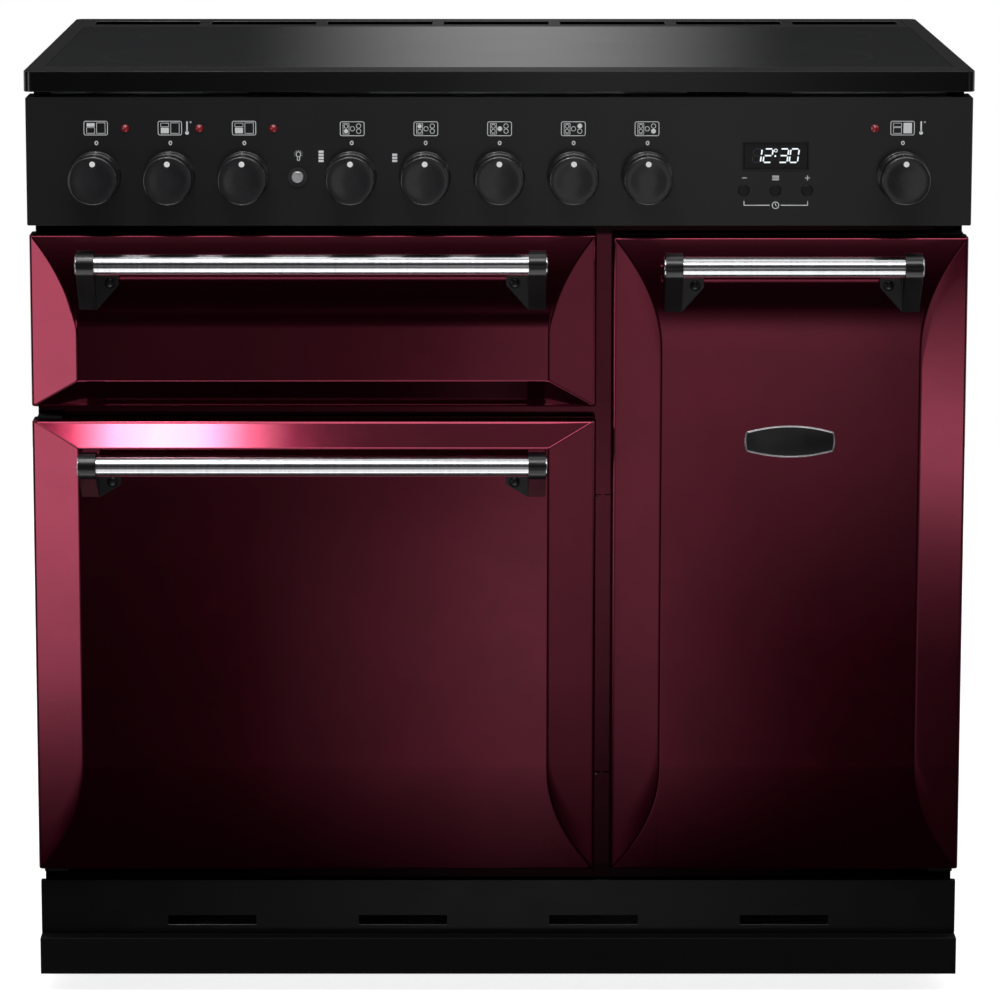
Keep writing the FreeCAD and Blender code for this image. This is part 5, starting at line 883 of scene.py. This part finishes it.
# Front frame, vent trim and plinth
# The burgundy frame behind the doors, the gloss black slotted trim under them and the satin toe board.
# The frame's enamel is the doors' own with painted shade: darker towards the floor, near black on the bottom
# rail and on the top rail under the panel's lip, and with its coat thinned where the shade is painted.
frame_enamel = burgundy.copy()
frame_enamel.name = "burgundy_frame_enamel"
tree = frame_enamel.node_tree
shader = next(item for item in tree.nodes if item.type == "BSDF_PRINCIPLED")
frame_at = add(tree, "ShaderNodeSeparateXYZ", links={"Vector": add(tree,
                                                                   "ShaderNodeTexCoord").outputs["Object"]})
# Painted shade: a darkening factor read off the frame's height, near black below the doors and under the
# panel's lip.
depth = ramp(tree, frame_at.outputs["Z"], ((0.05, 0.04), (0.123, 0.04), (0.13, 0.09), (0.202, 0.19),
                                           (0.298, 0.39),
                                           (0.394, 0.53), (0.491, 0.70), (0.587, 0.47), (0.744, 0.47),
                                           (0.7455, 0.04), (0.9, 0.04)), 0.05, 0.9)
# Multiplies the painted shade into the enamel's colour.
painted_shade_mix = add(tree, "ShaderNodeMix", {"data_type": "RGBA", "blend_type": "MULTIPLY", 0: 1.0},
             {6: shader.inputs["Base Color"].links[0].from_socket, 7: depth})
tree.links.new(painted_shade_mix.outputs[2], shader.inputs["Base Color"])
# The coat thins with the painted shade, so the shaded parts also mirror less.
shade_thinned_coat = add(tree, "ShaderNodeMath", {"operation": "MULTIPLY", 1: 0.3}, {0: depth})
tree.links.new(shade_thinned_coat.outputs[0], shader.inputs["Coat Weight"])
frame_skin = softened("front_frame_skin", "front_frame", frame_enamel, "root", 0.0006)
# Semi-gloss black enamel: thinner and flatter than the hob's, almost without a mirror image.
trim_black, tree, shader, place = finish("semi_gloss_black_enamel", {"Roughness": 0.2, "IOR": 1.42})
drift = add(tree, "ShaderNodeTexNoise", {"Scale": 30.0, "Detail": 3.0}, {"Vector": place})
trim_tone = add(tree, "ShaderNodeValToRGB", links={"Fac": drift.outputs["Fac"]})
trim_tone.color_ramp.elements[0].color = colour("050506")
trim_tone.color_ramp.elements[1].color = colour("09090a")
tree.links.new(trim_tone.outputs["Color"], shader.inputs["Base Color"])
drift_gloss = add(tree, "ShaderNodeMapRange", {"To Min": 0.14, "To Max": 0.22},
                  {"Value": drift.outputs["Fac"]})
tree.links.new(drift_gloss.outputs["Result"], shader.inputs["Roughness"])
trim = softened("slotted_trim", "vent_trim", trim_black, "root", 0.0009)
# Satin black powder coat on folded sheet: flat, with a fine pebble.
toe_black, tree, shader, place = finish("satin_black_sheet", {"Roughness": 0.5, "IOR": 1.25})
pebble = add(tree, "ShaderNodeTexNoise", {"Scale": 1100.0, "Detail": 2.0}, {"Vector": place})
toe_tone = add(tree, "ShaderNodeValToRGB", links={"Fac": pebble.outputs["Fac"]})
toe_tone.color_ramp.elements[0].color = colour("070707")
toe_tone.color_ramp.elements[1].color = colour("0d0d0d")
tree.links.new(toe_tone.outputs["Color"], shader.inputs["Base Color"])
pebbled = add(tree, "ShaderNodeBump", {"Strength": 0.2, "Distance": 0.0002},
              {"Height": pebble.outputs["Fac"]})
tree.links.new(pebbled.outputs["Normal"], shader.inputs["Normal"])
toe_board = softened("toe_board", "plinth", toe_black, "root", 0.0007)


# Name plate of the tall door
# A thin anodised plate pressed onto the tall door: a bright silver rim round a bare black field.
def flat_plate(name, centre, shrink, layers, material, body):
    """Rings of a barrel outline, one per (inset, depth) of layers, closed by a flat middle. Each side is a
    parabola through its corners: half height 9.35 + 6.0(1 - s^2) mm, half width 41.7 + 1.4(1 - s^2) mm."""
    share = np.linspace(-0.965, 0.965, 25)
    bulge = 1 - share ** 2
    rings = []
    for inset, depth in layers:
        wide, high = 0.0417 - shrink - inset, 0.00935 - shrink - inset
        sides = [(share * wide, -high - 0.0060 * bulge), (wide + 0.0014 * bulge, share * high),
                 (-share * wide, high + 0.0060 * bulge), (-wide - 0.0014 * bulge, -share * high)]
        ring = np.concatenate([np.stack(side, -1) for side in sides]) + centre
        rings.append(np.stack([ring[:, 0], np.full(len(ring), depth), ring[:, 1]], -1))
    count = len(rings[0])
    points = np.concatenate(rings)
    faces = grid_faces(len(rings), count, around=True).tolist()
    faces.append([(len(rings) - 1) * count + corner for corner in range(count)])
    return make_piece(name, points, faces, material, body)


# Silver anodised aluminium: a soft bright metal with fine straight brushing.
anodised, tree, shader, place = finish("silver_anodised_rim", {"Metallic": 1.0, "Roughness": 0.25})
stretch = add(tree, "ShaderNodeMapping", {"Scale": (60.0, 60.0, 2600.0)}, {"Vector": place})
brush = add(tree, "ShaderNodeTexNoise", {"Scale": 1.0, "Detail": 2.0}, {"Vector": stretch.outputs["Vector"]})
rim_tone = add(tree, "ShaderNodeValToRGB", links={"Fac": brush.outputs["Fac"]})
rim_tone.color_ramp.elements[0].color = colour("aaaaad")
rim_tone.color_ramp.elements[1].color = colour("d8d8da")
tree.links.new(rim_tone.outputs["Color"], shader.inputs["Base Color"])
plate_at = (0.2774, 0.5520)
rim_layers = [(0.0, -0.27865), (0.0, -0.27935), (0.00025, -0.27955), (0.0009, -0.27955), (0.0011, -0.27935)]
rim = flat_plate("plate_rim", plate_at, 0.0, rim_layers, anodised, "tall_door")
# Black lacquer in the plate's field: glossy, with a slow change of tone.
lacquer, tree, shader, place = finish("black_plate_lacquer", {"Roughness": 0.22, "IOR": 1.5})
slow = add(tree, "ShaderNodeTexNoise", {"Scale": 90.0, "Detail": 2.0}, {"Vector": place})
lacquer_tone = add(tree, "ShaderNodeValToRGB", links={"Fac": slow.outputs["Fac"]})
lacquer_tone.color_ramp.elements[0].color = colour("0a0a0b")
lacquer_tone.color_ramp.elements[1].color = colour("17171a")
tree.links.new(lacquer_tone.outputs["Color"], shader.inputs["Base Color"])
field_layers = [(0.0, -0.27925), (0.0, -0.27938), (0.0003, -0.27942)]
field = flat_plate("plate_field", plate_at, 0.0013, field_layers, lacquer, "tall_door")


# Case
# Side panels of black powder-coated sheet, a galvanised back and base, moulded feet and rollers, and the
# cross-head screws that hold the back on.
for side in ("left", "right"):
    cheek = softened(f"side_skin_{side}", f"side_panel_{side}", toe_black, "root", 0.0007)

# Galvanised sheet: pale grey zinc with crystals 8 to 15 mm across that catch the light differently.
zinc_sheet, tree, shader, place = finish("galvanised_sheet", {"Metallic": 1.0, "Roughness": 0.4})
spangle = add(tree, "ShaderNodeTexVoronoi", {"Scale": 95.0}, {"Vector": place})
frost = add(tree, "ShaderNodeTexNoise", {"Scale": 300.0, "Detail": 4.0}, {"Vector": place})
crystal = add(tree, "ShaderNodeSeparateColor", links={"Color": spangle.outputs["Color"]})
blend = add(tree, "ShaderNodeMath", {"operation": "MULTIPLY_ADD", 1: 0.35},
            {0: frost.outputs["Fac"], 2: crystal.outputs["Red"]})
zinc_tone = add(tree, "ShaderNodeValToRGB", links={"Fac": blend.outputs[0]})
zinc_tone.color_ramp.elements[0].color = colour("8e9295")
zinc_tone.color_ramp.elements[1].color = colour("b9bcbe")
tree.links.new(zinc_tone.outputs["Color"], shader.inputs["Base Color"])
zinc_gloss = add(tree, "ShaderNodeMapRange", {"To Min": 0.3, "To Max": 0.5},
                 {"Value": crystal.outputs["Green"]})
tree.links.new(zinc_gloss.outputs["Result"], shader.inputs["Roughness"])

# Bright zinc plate: bluish silver with fine rolling lines, on brackets, pins and screws.
zinc_plate, tree, shader, place = finish("bright_zinc_plate", {"Metallic": 1.0, "Roughness": 0.28})
passing = add(tree, "ShaderNodeTexNoise", {"Scale": 240.0, "Detail": 5.0}, {"Vector": place})
plate_tone = add(tree, "ShaderNodeValToRGB", links={"Fac": passing.outputs["Fac"]})
plate_tone.color_ramp.elements[0].color = colour("9ba0a5")
plate_tone.color_ramp.elements[1].color = colour("c6cacd")
tree.links.new(plate_tone.outputs["Color"], shader.inputs["Base Color"])
plate_gloss = add(tree, "ShaderNodeMapRange", {"To Min": 0.2, "To Max": 0.4},
                  {"Value": passing.outputs["Fac"]})
tree.links.new(plate_gloss.outputs["Result"], shader.inputs["Roughness"])

# Black passivated zinc: a dark oily grey with olive patches, on the door hinges and their keepers.
dark_zinc, tree, shader, place = finish("black_passivated_zinc", {"Metallic": 0.6, "Roughness": 0.5})
cast_off = add(tree, "ShaderNodeTexNoise", {"Scale": 160.0, "Detail": 4.0}, {"Vector": place})
dark_tone = add(tree, "ShaderNodeValToRGB", links={"Fac": cast_off.outputs["Fac"]})
dark_tone.color_ramp.elements[0].color = colour("0b0b0c")
dark_tone.color_ramp.elements[1].color = colour("1b1a19")
tree.links.new(dark_tone.outputs["Color"], shader.inputs["Base Color"])

for name, node, material, slot, width in (
    ("rear_cover", "back_panel", zinc_sheet, "zinc_steel", 0.0003),
    ("folded_base", "base_tray", zinc_sheet, "zinc_steel", 0.0006),
    ("screw_feet", "levelling_feet", moulding, "foot_black", 0.0008),
    ("roller_wheels", "rear_rollers", moulding, "foot_black", 0.0012),
    ("hinge_hardware", "door_hinges", dark_zinc, "zinc_steel", 0.0003),
    ("mains_box", "terminal_block", moulding, "black_plastic", 0.0012),
):
    piece = softened(name, node, material, "root" if node != "rear_rollers" else "rear_rollers", width)
    if node == "door_hinges":
        # The keeper faces on the stile take the frame enamel and its painted shade.
        piece.data.materials.append(frame_enamel)
        for face in piece.data.polygons:
            face.material_index = int(0.0932 < face.center.x < 0.1082)
for place_z in (0.4897, 0.2150):
    pin = [(0.0, 0.0), (0.0002, 0.0004), (0.0006, 0.00065), (0.0044, 0.00065), (0.0048, 0.0004),
           (0.0050, 0.0)]
    pin = turned(f"keeper_pin_{'upper' if place_z > 0.3 else 'lower'}", pin,
                 (0.0948, -0.2389, place_z - 0.0025),
                 "z", zinc_plate, "root", around=16)

screw_head = [(0.0, 0.0), (0.0003, 0.0022), (0.0009, 0.0034), (0.0011, 0.0036), (0.0011, 0.0)]
for count, (x, z) in enumerate(
    [(side * x, z) for x in (0.435, 0.29, 0.145) for side in (-1, 1) for z in (0.075, 0.872)]
    + [(side * 0.435, z) for side in (-1, 1) for z in (0.24, 0.40, 0.56, 0.72)]
):
    head = turned(f"back_screw_{count + 1}", [(0.0011 - depth, reach) for depth, reach in screw_head],
                  (x, 0.32315, z), "y", zinc_plate, "root", around=24)


# Ovens
# Welded boxes in charcoal vitreous enamel with a fleck, wrapped in mineral wool, with a woven seal round
# each mouth. A perforated baffle stands in front of each fan and the ring element round it.
# Flecked oven enamel: near-black glass with pale flecks under 1 mm and a fired, slightly wavy gloss.
oven_enamel, tree, shader, place = finish("flecked_oven_enamel",
                                          {"Roughness": 0.24, "IOR": 1.5, "Coat Weight": 0.3})
fleck = add(tree, "ShaderNodeTexVoronoi", {"Scale": 620.0, "Randomness": 1.0}, {"Vector": place})
fleck_at = add(tree, "ShaderNodeMath", {"operation": "LESS_THAN", 1: 0.2}, {0: fleck.outputs["Distance"]})
fleck_pick = add(tree, "ShaderNodeSeparateColor", links={"Color": fleck.outputs["Color"]})
some = add(tree, "ShaderNodeMath", {"operation": "LESS_THAN", 1: 0.38}, {0: fleck_pick.outputs["Red"]})
shown = add(tree, "ShaderNodeMath", {"operation": "MULTIPLY"}, {0: fleck_at.outputs[0], 1: some.outputs[0]})
ground = add(tree, "ShaderNodeTexNoise", {"Scale": 40.0, "Detail": 3.0}, {"Vector": place})
ground_tone = add(tree, "ShaderNodeValToRGB", links={"Fac": ground.outputs["Fac"]})
ground_tone.color_ramp.elements[0].color = colour("191a1e")
ground_tone.color_ramp.elements[1].color = colour("26272c")
flecked = add(tree, "ShaderNodeMix", {"data_type": "RGBA", 7: colour("8d9096")},
              {0: shown.outputs[0], 6: ground_tone.outputs["Color"]})
tree.links.new(flecked.outputs[2], shader.inputs["Base Color"])
fired = add(tree, "ShaderNodeTexNoise", {"Scale": 120.0, "Detail": 2.0}, {"Vector": place})
fired_bump = add(tree, "ShaderNodeBump", {"Strength": 0.12, "Distance": 0.0004},
                 {"Height": fired.outputs["Fac"]})
tree.links.new(fired_bump.outputs["Normal"], shader.inputs["Normal"])
for name, node, width in (
    ("grill_box", "grill_cavity", 0.0009), ("main_oven_box", "main_oven_cavity", 0.0009),
    ("tall_oven_box", "tall_oven_cavity", 0.0009), ("pierced_baffles", "fan_baffles", 0.0004),
):
    softened(name, node, oven_enamel, "root", width)
softened("drip_pan", "grill_pan", oven_enamel, "grill_pan", 0.0007)


def pressed(piece, border, depth):
    """Sinks the middle of a liner's flat back by the depth, inside a border, as a press forms it."""
    form = bmesh.new()
    form.from_mesh(piece.data)
    backs = [face for face in form.faces if face.normal.y > 0.99 and face.calc_center_median().y > -0.2405]
    field = max(backs, key=lambda face: face.calc_area())
    corners = np.array([vert.co for vert in field.verts])
    low, high = corners.min(0) + border, corners.max(0) - border
    cut = [field]
    for side, spot in ((0, low), (0, high), (2, low), (2, high)):
        plane = np.eye(3)[side]
        edges = [edge for face in cut for edge in face.edges]
        verts = [vert for face in cut for vert in face.verts]
        around = list(cut) + edges + verts
        done = bmesh.ops.bisect_plane(form, geom=list(set(around)), plane_co=spot, plane_no=plane)
        cut = [item for item in done["geom"] if isinstance(item, bmesh.types.BMFace)]
    middle = [face for face in cut if low[0] < face.calc_center_median().x < high[0]
              and low[2] < face.calc_center_median().z < high[2]]
    bmesh.ops.inset_region(form, faces=middle, thickness=0.0035, depth=-depth, use_even_offset=True)
    form.to_mesh(piece.data)
    form.free()


for door, width in (("main_door", 0.0006), ("tall_door", 0.0006), ("grill_door", 0.0006)):
    backing = softened(f"{door}_backing", f"{door}_liner", oven_enamel, door, width, angle=20)
    pressed(backing, 0.047 if door != "grill_door" else 0.034, 0.0014)

# Mineral wool: pale straw felt of tangled fibres, with loose tufts.
wool, tree, shader, place = finish("mineral_wool_blanket", {"Roughness": 0.95})
tangle = add(tree, "ShaderNodeTexNoise", {"Scale": 260.0, "Detail": 8.0, "Roughness": 0.75,
                                          "Distortion": 2.0}, {"Vector": place})
wool_tone = add(tree, "ShaderNodeValToRGB", links={"Fac": tangle.outputs["Fac"]})
wool_tone.color_ramp.elements[0].position = 0.3
wool_tone.color_ramp.elements[0].color = colour("9c9274")
wool_tone.color_ramp.elements[1].position = 0.7
wool_tone.color_ramp.elements[1].color = colour("ddd4b6")
tree.links.new(wool_tone.outputs["Color"], shader.inputs["Base Color"])
tufts = add(tree, "ShaderNodeBump", {"Strength": 0.8, "Distance": 0.002}, {"Height": tangle.outputs["Fac"]})
tree.links.new(tufts.outputs["Normal"], shader.inputs["Normal"])
softened("wool_blankets", "insulation", wool, "root", 0.004)

# Woven glass-fibre seal: dark grey braid of crossing strands about 2 mm wide.
braid, tree, shader, place = finish("woven_fibre_seal", {"Roughness": 0.8})
strands = None
for lean in (45, -45):
    turn = add(tree, "ShaderNodeMapping", {"Rotation": (0.0, math.radians(lean), 0.0)}, {"Vector": place})
    strand = add(tree, "ShaderNodeTexWave", {"Scale": 150.0, "Distortion": 0.6, "Detail": 2.0},
                 {"Vector": turn.outputs["Vector"]})
    crossing = add(tree, "ShaderNodeMath", {"operation": "MAXIMUM"}, {0: strand.outputs["Fac"]})
    if strands is not None:
        tree.links.new(strands, crossing.inputs[1])
    strands = crossing.outputs[0]
braid_tone = add(tree, "ShaderNodeValToRGB", links={"Fac": strands})
braid_tone.color_ramp.elements[0].color = colour("1c1c1d")
braid_tone.color_ramp.elements[1].color = colour("4b4a48")
tree.links.new(braid_tone.outputs["Color"], shader.inputs["Base Color"])
braided = add(tree, "ShaderNodeBump", {"Strength": 0.6, "Distance": 0.0006}, {"Height": strands})
tree.links.new(braided.outputs["Normal"], shader.inputs["Normal"])
softened("mouth_seals", "door_seals", braid, "root", 0.0014)

# Chromed wire: racks and shelves bent from polished rod, with small bright and dull patches.
wire_chrome, tree, shader, place = finish("chromed_wire", {"Metallic": 1.0, "Roughness": 0.16})
patchy = add(tree, "ShaderNodeTexNoise", {"Scale": 180.0, "Detail": 3.0}, {"Vector": place})
wire_gloss = add(tree, "ShaderNodeMapRange", {"To Min": 0.1, "To Max": 0.26},
                 {"Value": patchy.outputs["Fac"]})
tree.links.new(wire_gloss.outputs["Result"], shader.inputs["Roughness"])
wire_tone = add(tree, "ShaderNodeValToRGB", links={"Fac": patchy.outputs["Fac"]})
wire_tone.color_ramp.elements[0].color = colour("b2b3b5")
wire_tone.color_ramp.elements[1].color = colour("d2d3d4")
tree.links.new(wire_tone.outputs["Color"], shader.inputs["Base Color"])

# Element sheath: nickel alloy tube gone brown-grey with heat, bluish in patches, dull.
sheath, tree, shader, place = finish("heat_tinted_sheath", {"Metallic": 0.85, "Roughness": 0.5})
tint = add(tree, "ShaderNodeTexNoise", {"Scale": 28.0, "Detail": 4.0}, {"Vector": place})
tint_tone = add(tree, "ShaderNodeValToRGB", links={"Fac": tint.outputs["Fac"]})
tint_tone.color_ramp.elements[0].position = 0.32
tint_tone.color_ramp.elements[0].color = colour("4a433c")
tint_tone.color_ramp.elements[1].position = 0.68
tint_tone.color_ramp.elements[1].color = colour("5d6066")
tree.links.new(tint_tone.outputs["Color"], shader.inputs["Base Color"])

# Aluminised fan steel: satin grey with a mottled coating and stamping marks.
fan_steel, tree, shader, place = finish("aluminised_fan_steel", {"Metallic": 1.0, "Roughness": 0.42})
mottle = add(tree, "ShaderNodeTexNoise", {"Scale": 130.0, "Detail": 5.0}, {"Vector": place})
fan_tone = add(tree, "ShaderNodeValToRGB", links={"Fac": mottle.outputs["Fac"]})
fan_tone.color_ramp.elements[0].color = colour("8b8d90")
fan_tone.color_ramp.elements[1].color = colour("b3b4b6")
tree.links.new(fan_tone.outputs["Color"], shader.inputs["Base Color"])

# Motor can: grey steel with the edges of its 0.5 mm laminations showing as fine lines.
laminated, tree, shader, place = finish("laminated_motor_steel", {"Metallic": 0.9, "Roughness": 0.45})
stack = add(tree, "ShaderNodeTexWave", {"bands_direction": "Y", "Scale": 320.0, "Distortion": 0.3},
            {"Vector": place})
stack_tone = add(tree, "ShaderNodeValToRGB", links={"Fac": stack.outputs["Fac"]})
stack_tone.color_ramp.elements[0].color = colour("55585b")
stack_tone.color_ramp.elements[1].color = colour("8f9295")
tree.links.new(stack_tone.outputs["Color"], shader.inputs["Base Color"])

# Mineral-filled switch moulding: dull dark grey with light grain.
switch_grey, tree, shader, place = finish("filled_switch_moulding", {"Roughness": 0.55, "IOR": 1.5})
filler = add(tree, "ShaderNodeTexNoise", {"Scale": 900.0, "Detail": 3.0}, {"Vector": place})
switch_tone = add(tree, "ShaderNodeValToRGB", links={"Fac": filler.outputs["Fac"]})
switch_tone.color_ramp.elements[0].color = colour("1d1d1e")
switch_tone.color_ramp.elements[1].color = colour("2c2c2d")
tree.links.new(switch_tone.outputs["Color"], shader.inputs["Base Color"])

# Wound copper: brown-red turns of stranded wire 3 mm apart, spiralling round each coil's middle.
copper, tree, shader, place = finish("wound_copper_strand", {"Metallic": 0.8, "Roughness": 0.35})
coil_at = add(tree, "ShaderNodeSeparateXYZ", links={"Vector": place})
nearest = None
for x, y in ((-0.290, -0.1178), (-0.290, 0.1122), (0.0, -0.0028), (0.290, 0.1122), (0.290, -0.1178)):
    off_x = add(tree, "ShaderNodeMath", {"operation": "SUBTRACT", 1: x}, {0: coil_at.outputs["X"]})
    off_y = add(tree, "ShaderNodeMath", {"operation": "SUBTRACT", 1: y}, {0: coil_at.outputs["Y"]})
    spot = add(tree, "ShaderNodeCombineXYZ", links={"X": off_x.outputs[0], "Y": off_y.outputs[0]})
    reach = add(tree, "ShaderNodeVectorMath", {"operation": "LENGTH"}, {0: spot.outputs[0]})
    closer = add(tree, "ShaderNodeMath", {"operation": "MINIMUM", 1: 1.0}, {0: reach.outputs["Value"]})
    if nearest is not None:
        tree.links.new(nearest, closer.inputs[1])
    nearest = closer.outputs[0]
turns = add(tree, "ShaderNodeMath", {"operation": "PINGPONG", 1: 0.0015}, {0: nearest})
wound = add(tree, "ShaderNodeMapRange", {"From Min": 0.0, "From Max": 0.0015}, {"Value": turns.outputs[0]})
copper_tone = add(tree, "ShaderNodeValToRGB", links={"Fac": wound.outputs["Result"]})
copper_tone.color_ramp.elements[0].color = colour("4f2412")
copper_tone.color_ramp.elements[1].color = colour("b9683c")
tree.links.new(copper_tone.outputs["Color"], shader.inputs["Base Color"])
wound_bump = add(tree, "ShaderNodeBump", {"Strength": 0.7, "Distance": 0.001},
                 {"Height": wound.outputs["Result"]})
tree.links.new(wound_bump.outputs["Normal"], shader.inputs["Normal"])

# Coil tray: bare aluminium with rolling streaks; the two boards on it are green laminate.
tray_metal, tree, shader, place = finish("rolled_aluminium_tray", {"Roughness": 0.36})
streaky = add(tree, "ShaderNodeMapping", {"Scale": (14.0, 400.0, 400.0)}, {"Vector": place})
streaks = add(tree, "ShaderNodeTexNoise", {"Scale": 1.0, "Detail": 4.0},
              {"Vector": streaky.outputs["Vector"]})
tray_tone = add(tree, "ShaderNodeValToRGB", links={"Fac": streaks.outputs["Fac"]})
tray_tone.color_ramp.elements[0].color = colour("a2a4a6")
tray_tone.color_ramp.elements[1].color = colour("c9cbcc")
tray_at = add(tree, "ShaderNodeSeparateXYZ", links={"Vector": place})
high_up = add(tree, "ShaderNodeMath", {"operation": "COMPARE", 1: 0.8490, 2: 0.0020},
              {0: tray_at.outputs["Z"]})
across = add(tree, "ShaderNodeMath", {"operation": "ABSOLUTE"}, {0: tray_at.outputs["X"]})
in_board = add(tree, "ShaderNodeMath", {"operation": "COMPARE", 1: 0.215, 2: 0.0855}, {0: across.outputs[0]})
on_board = add(tree, "ShaderNodeMath", {"operation": "MULTIPLY"},
               {0: high_up.outputs[0], 1: in_board.outputs[0]})
board_mix = add(tree, "ShaderNodeMix", {"data_type": "RGBA", 7: colour("1d5b35")},
                {0: on_board.outputs[0], 6: tray_tone.outputs["Color"]})
tree.links.new(board_mix.outputs[2], shader.inputs["Base Color"])
bare = add(tree, "ShaderNodeMath", {"operation": "SUBTRACT", 0: 1.0}, {1: on_board.outputs[0]})
tree.links.new(bare.outputs[0], shader.inputs["Metallic"])

# Lamp glass: clear and warm, thick enough to look milky at the rim; the neon bodies share its gloss.
lamp_glass, tree, shader, place = finish("lamp_glass", {"Roughness": 0.12, "IOR": 1.5})
lamp_at = add(tree, "ShaderNodeSeparateXYZ", links={"Vector": place})
deep = add(tree, "ShaderNodeMath", {"operation": "GREATER_THAN", 1: 0.0}, {0: lamp_at.outputs["Y"]})
seed = add(tree, "ShaderNodeTexNoise", {"Scale": 420.0, "Detail": 2.0}, {"Vector": place})
red_tone = add(tree, "ShaderNodeValToRGB", links={"Fac": seed.outputs["Fac"]})
red_tone.color_ramp.elements[0].color = colour("5c0a12")
red_tone.color_ramp.elements[1].color = colour("8a1522")
warm_tone = add(tree, "ShaderNodeValToRGB", links={"Fac": seed.outputs["Fac"]})
warm_tone.color_ramp.elements[0].color = colour("d9d2c0")
warm_tone.color_ramp.elements[1].color = colour("efe9da")
lamp_mix = add(tree, "ShaderNodeMix", {"data_type": "RGBA"},
               {0: deep.outputs[0], 6: red_tone.outputs["Color"], 7: warm_tone.outputs["Color"]})
tree.links.new(lamp_mix.outputs[2], shader.inputs["Base Color"])

for name, material in (
    ("shelf_racks", wire_chrome), ("main_oven_shelf", wire_chrome), ("tall_oven_shelf", wire_chrome),
    ("heating_elements", sheath), ("main_oven_fan", fan_steel), ("tall_oven_fan", fan_steel),
    ("cooling_fan", fan_steel), ("fan_motors", laminated), ("control_switches", switch_grey),
    ("induction_coils", copper), ("power_tray", tray_metal), ("lamps", lamp_glass),
):
    nodes[name].data.materials.clear()
    nodes[name].data.materials.append(material)
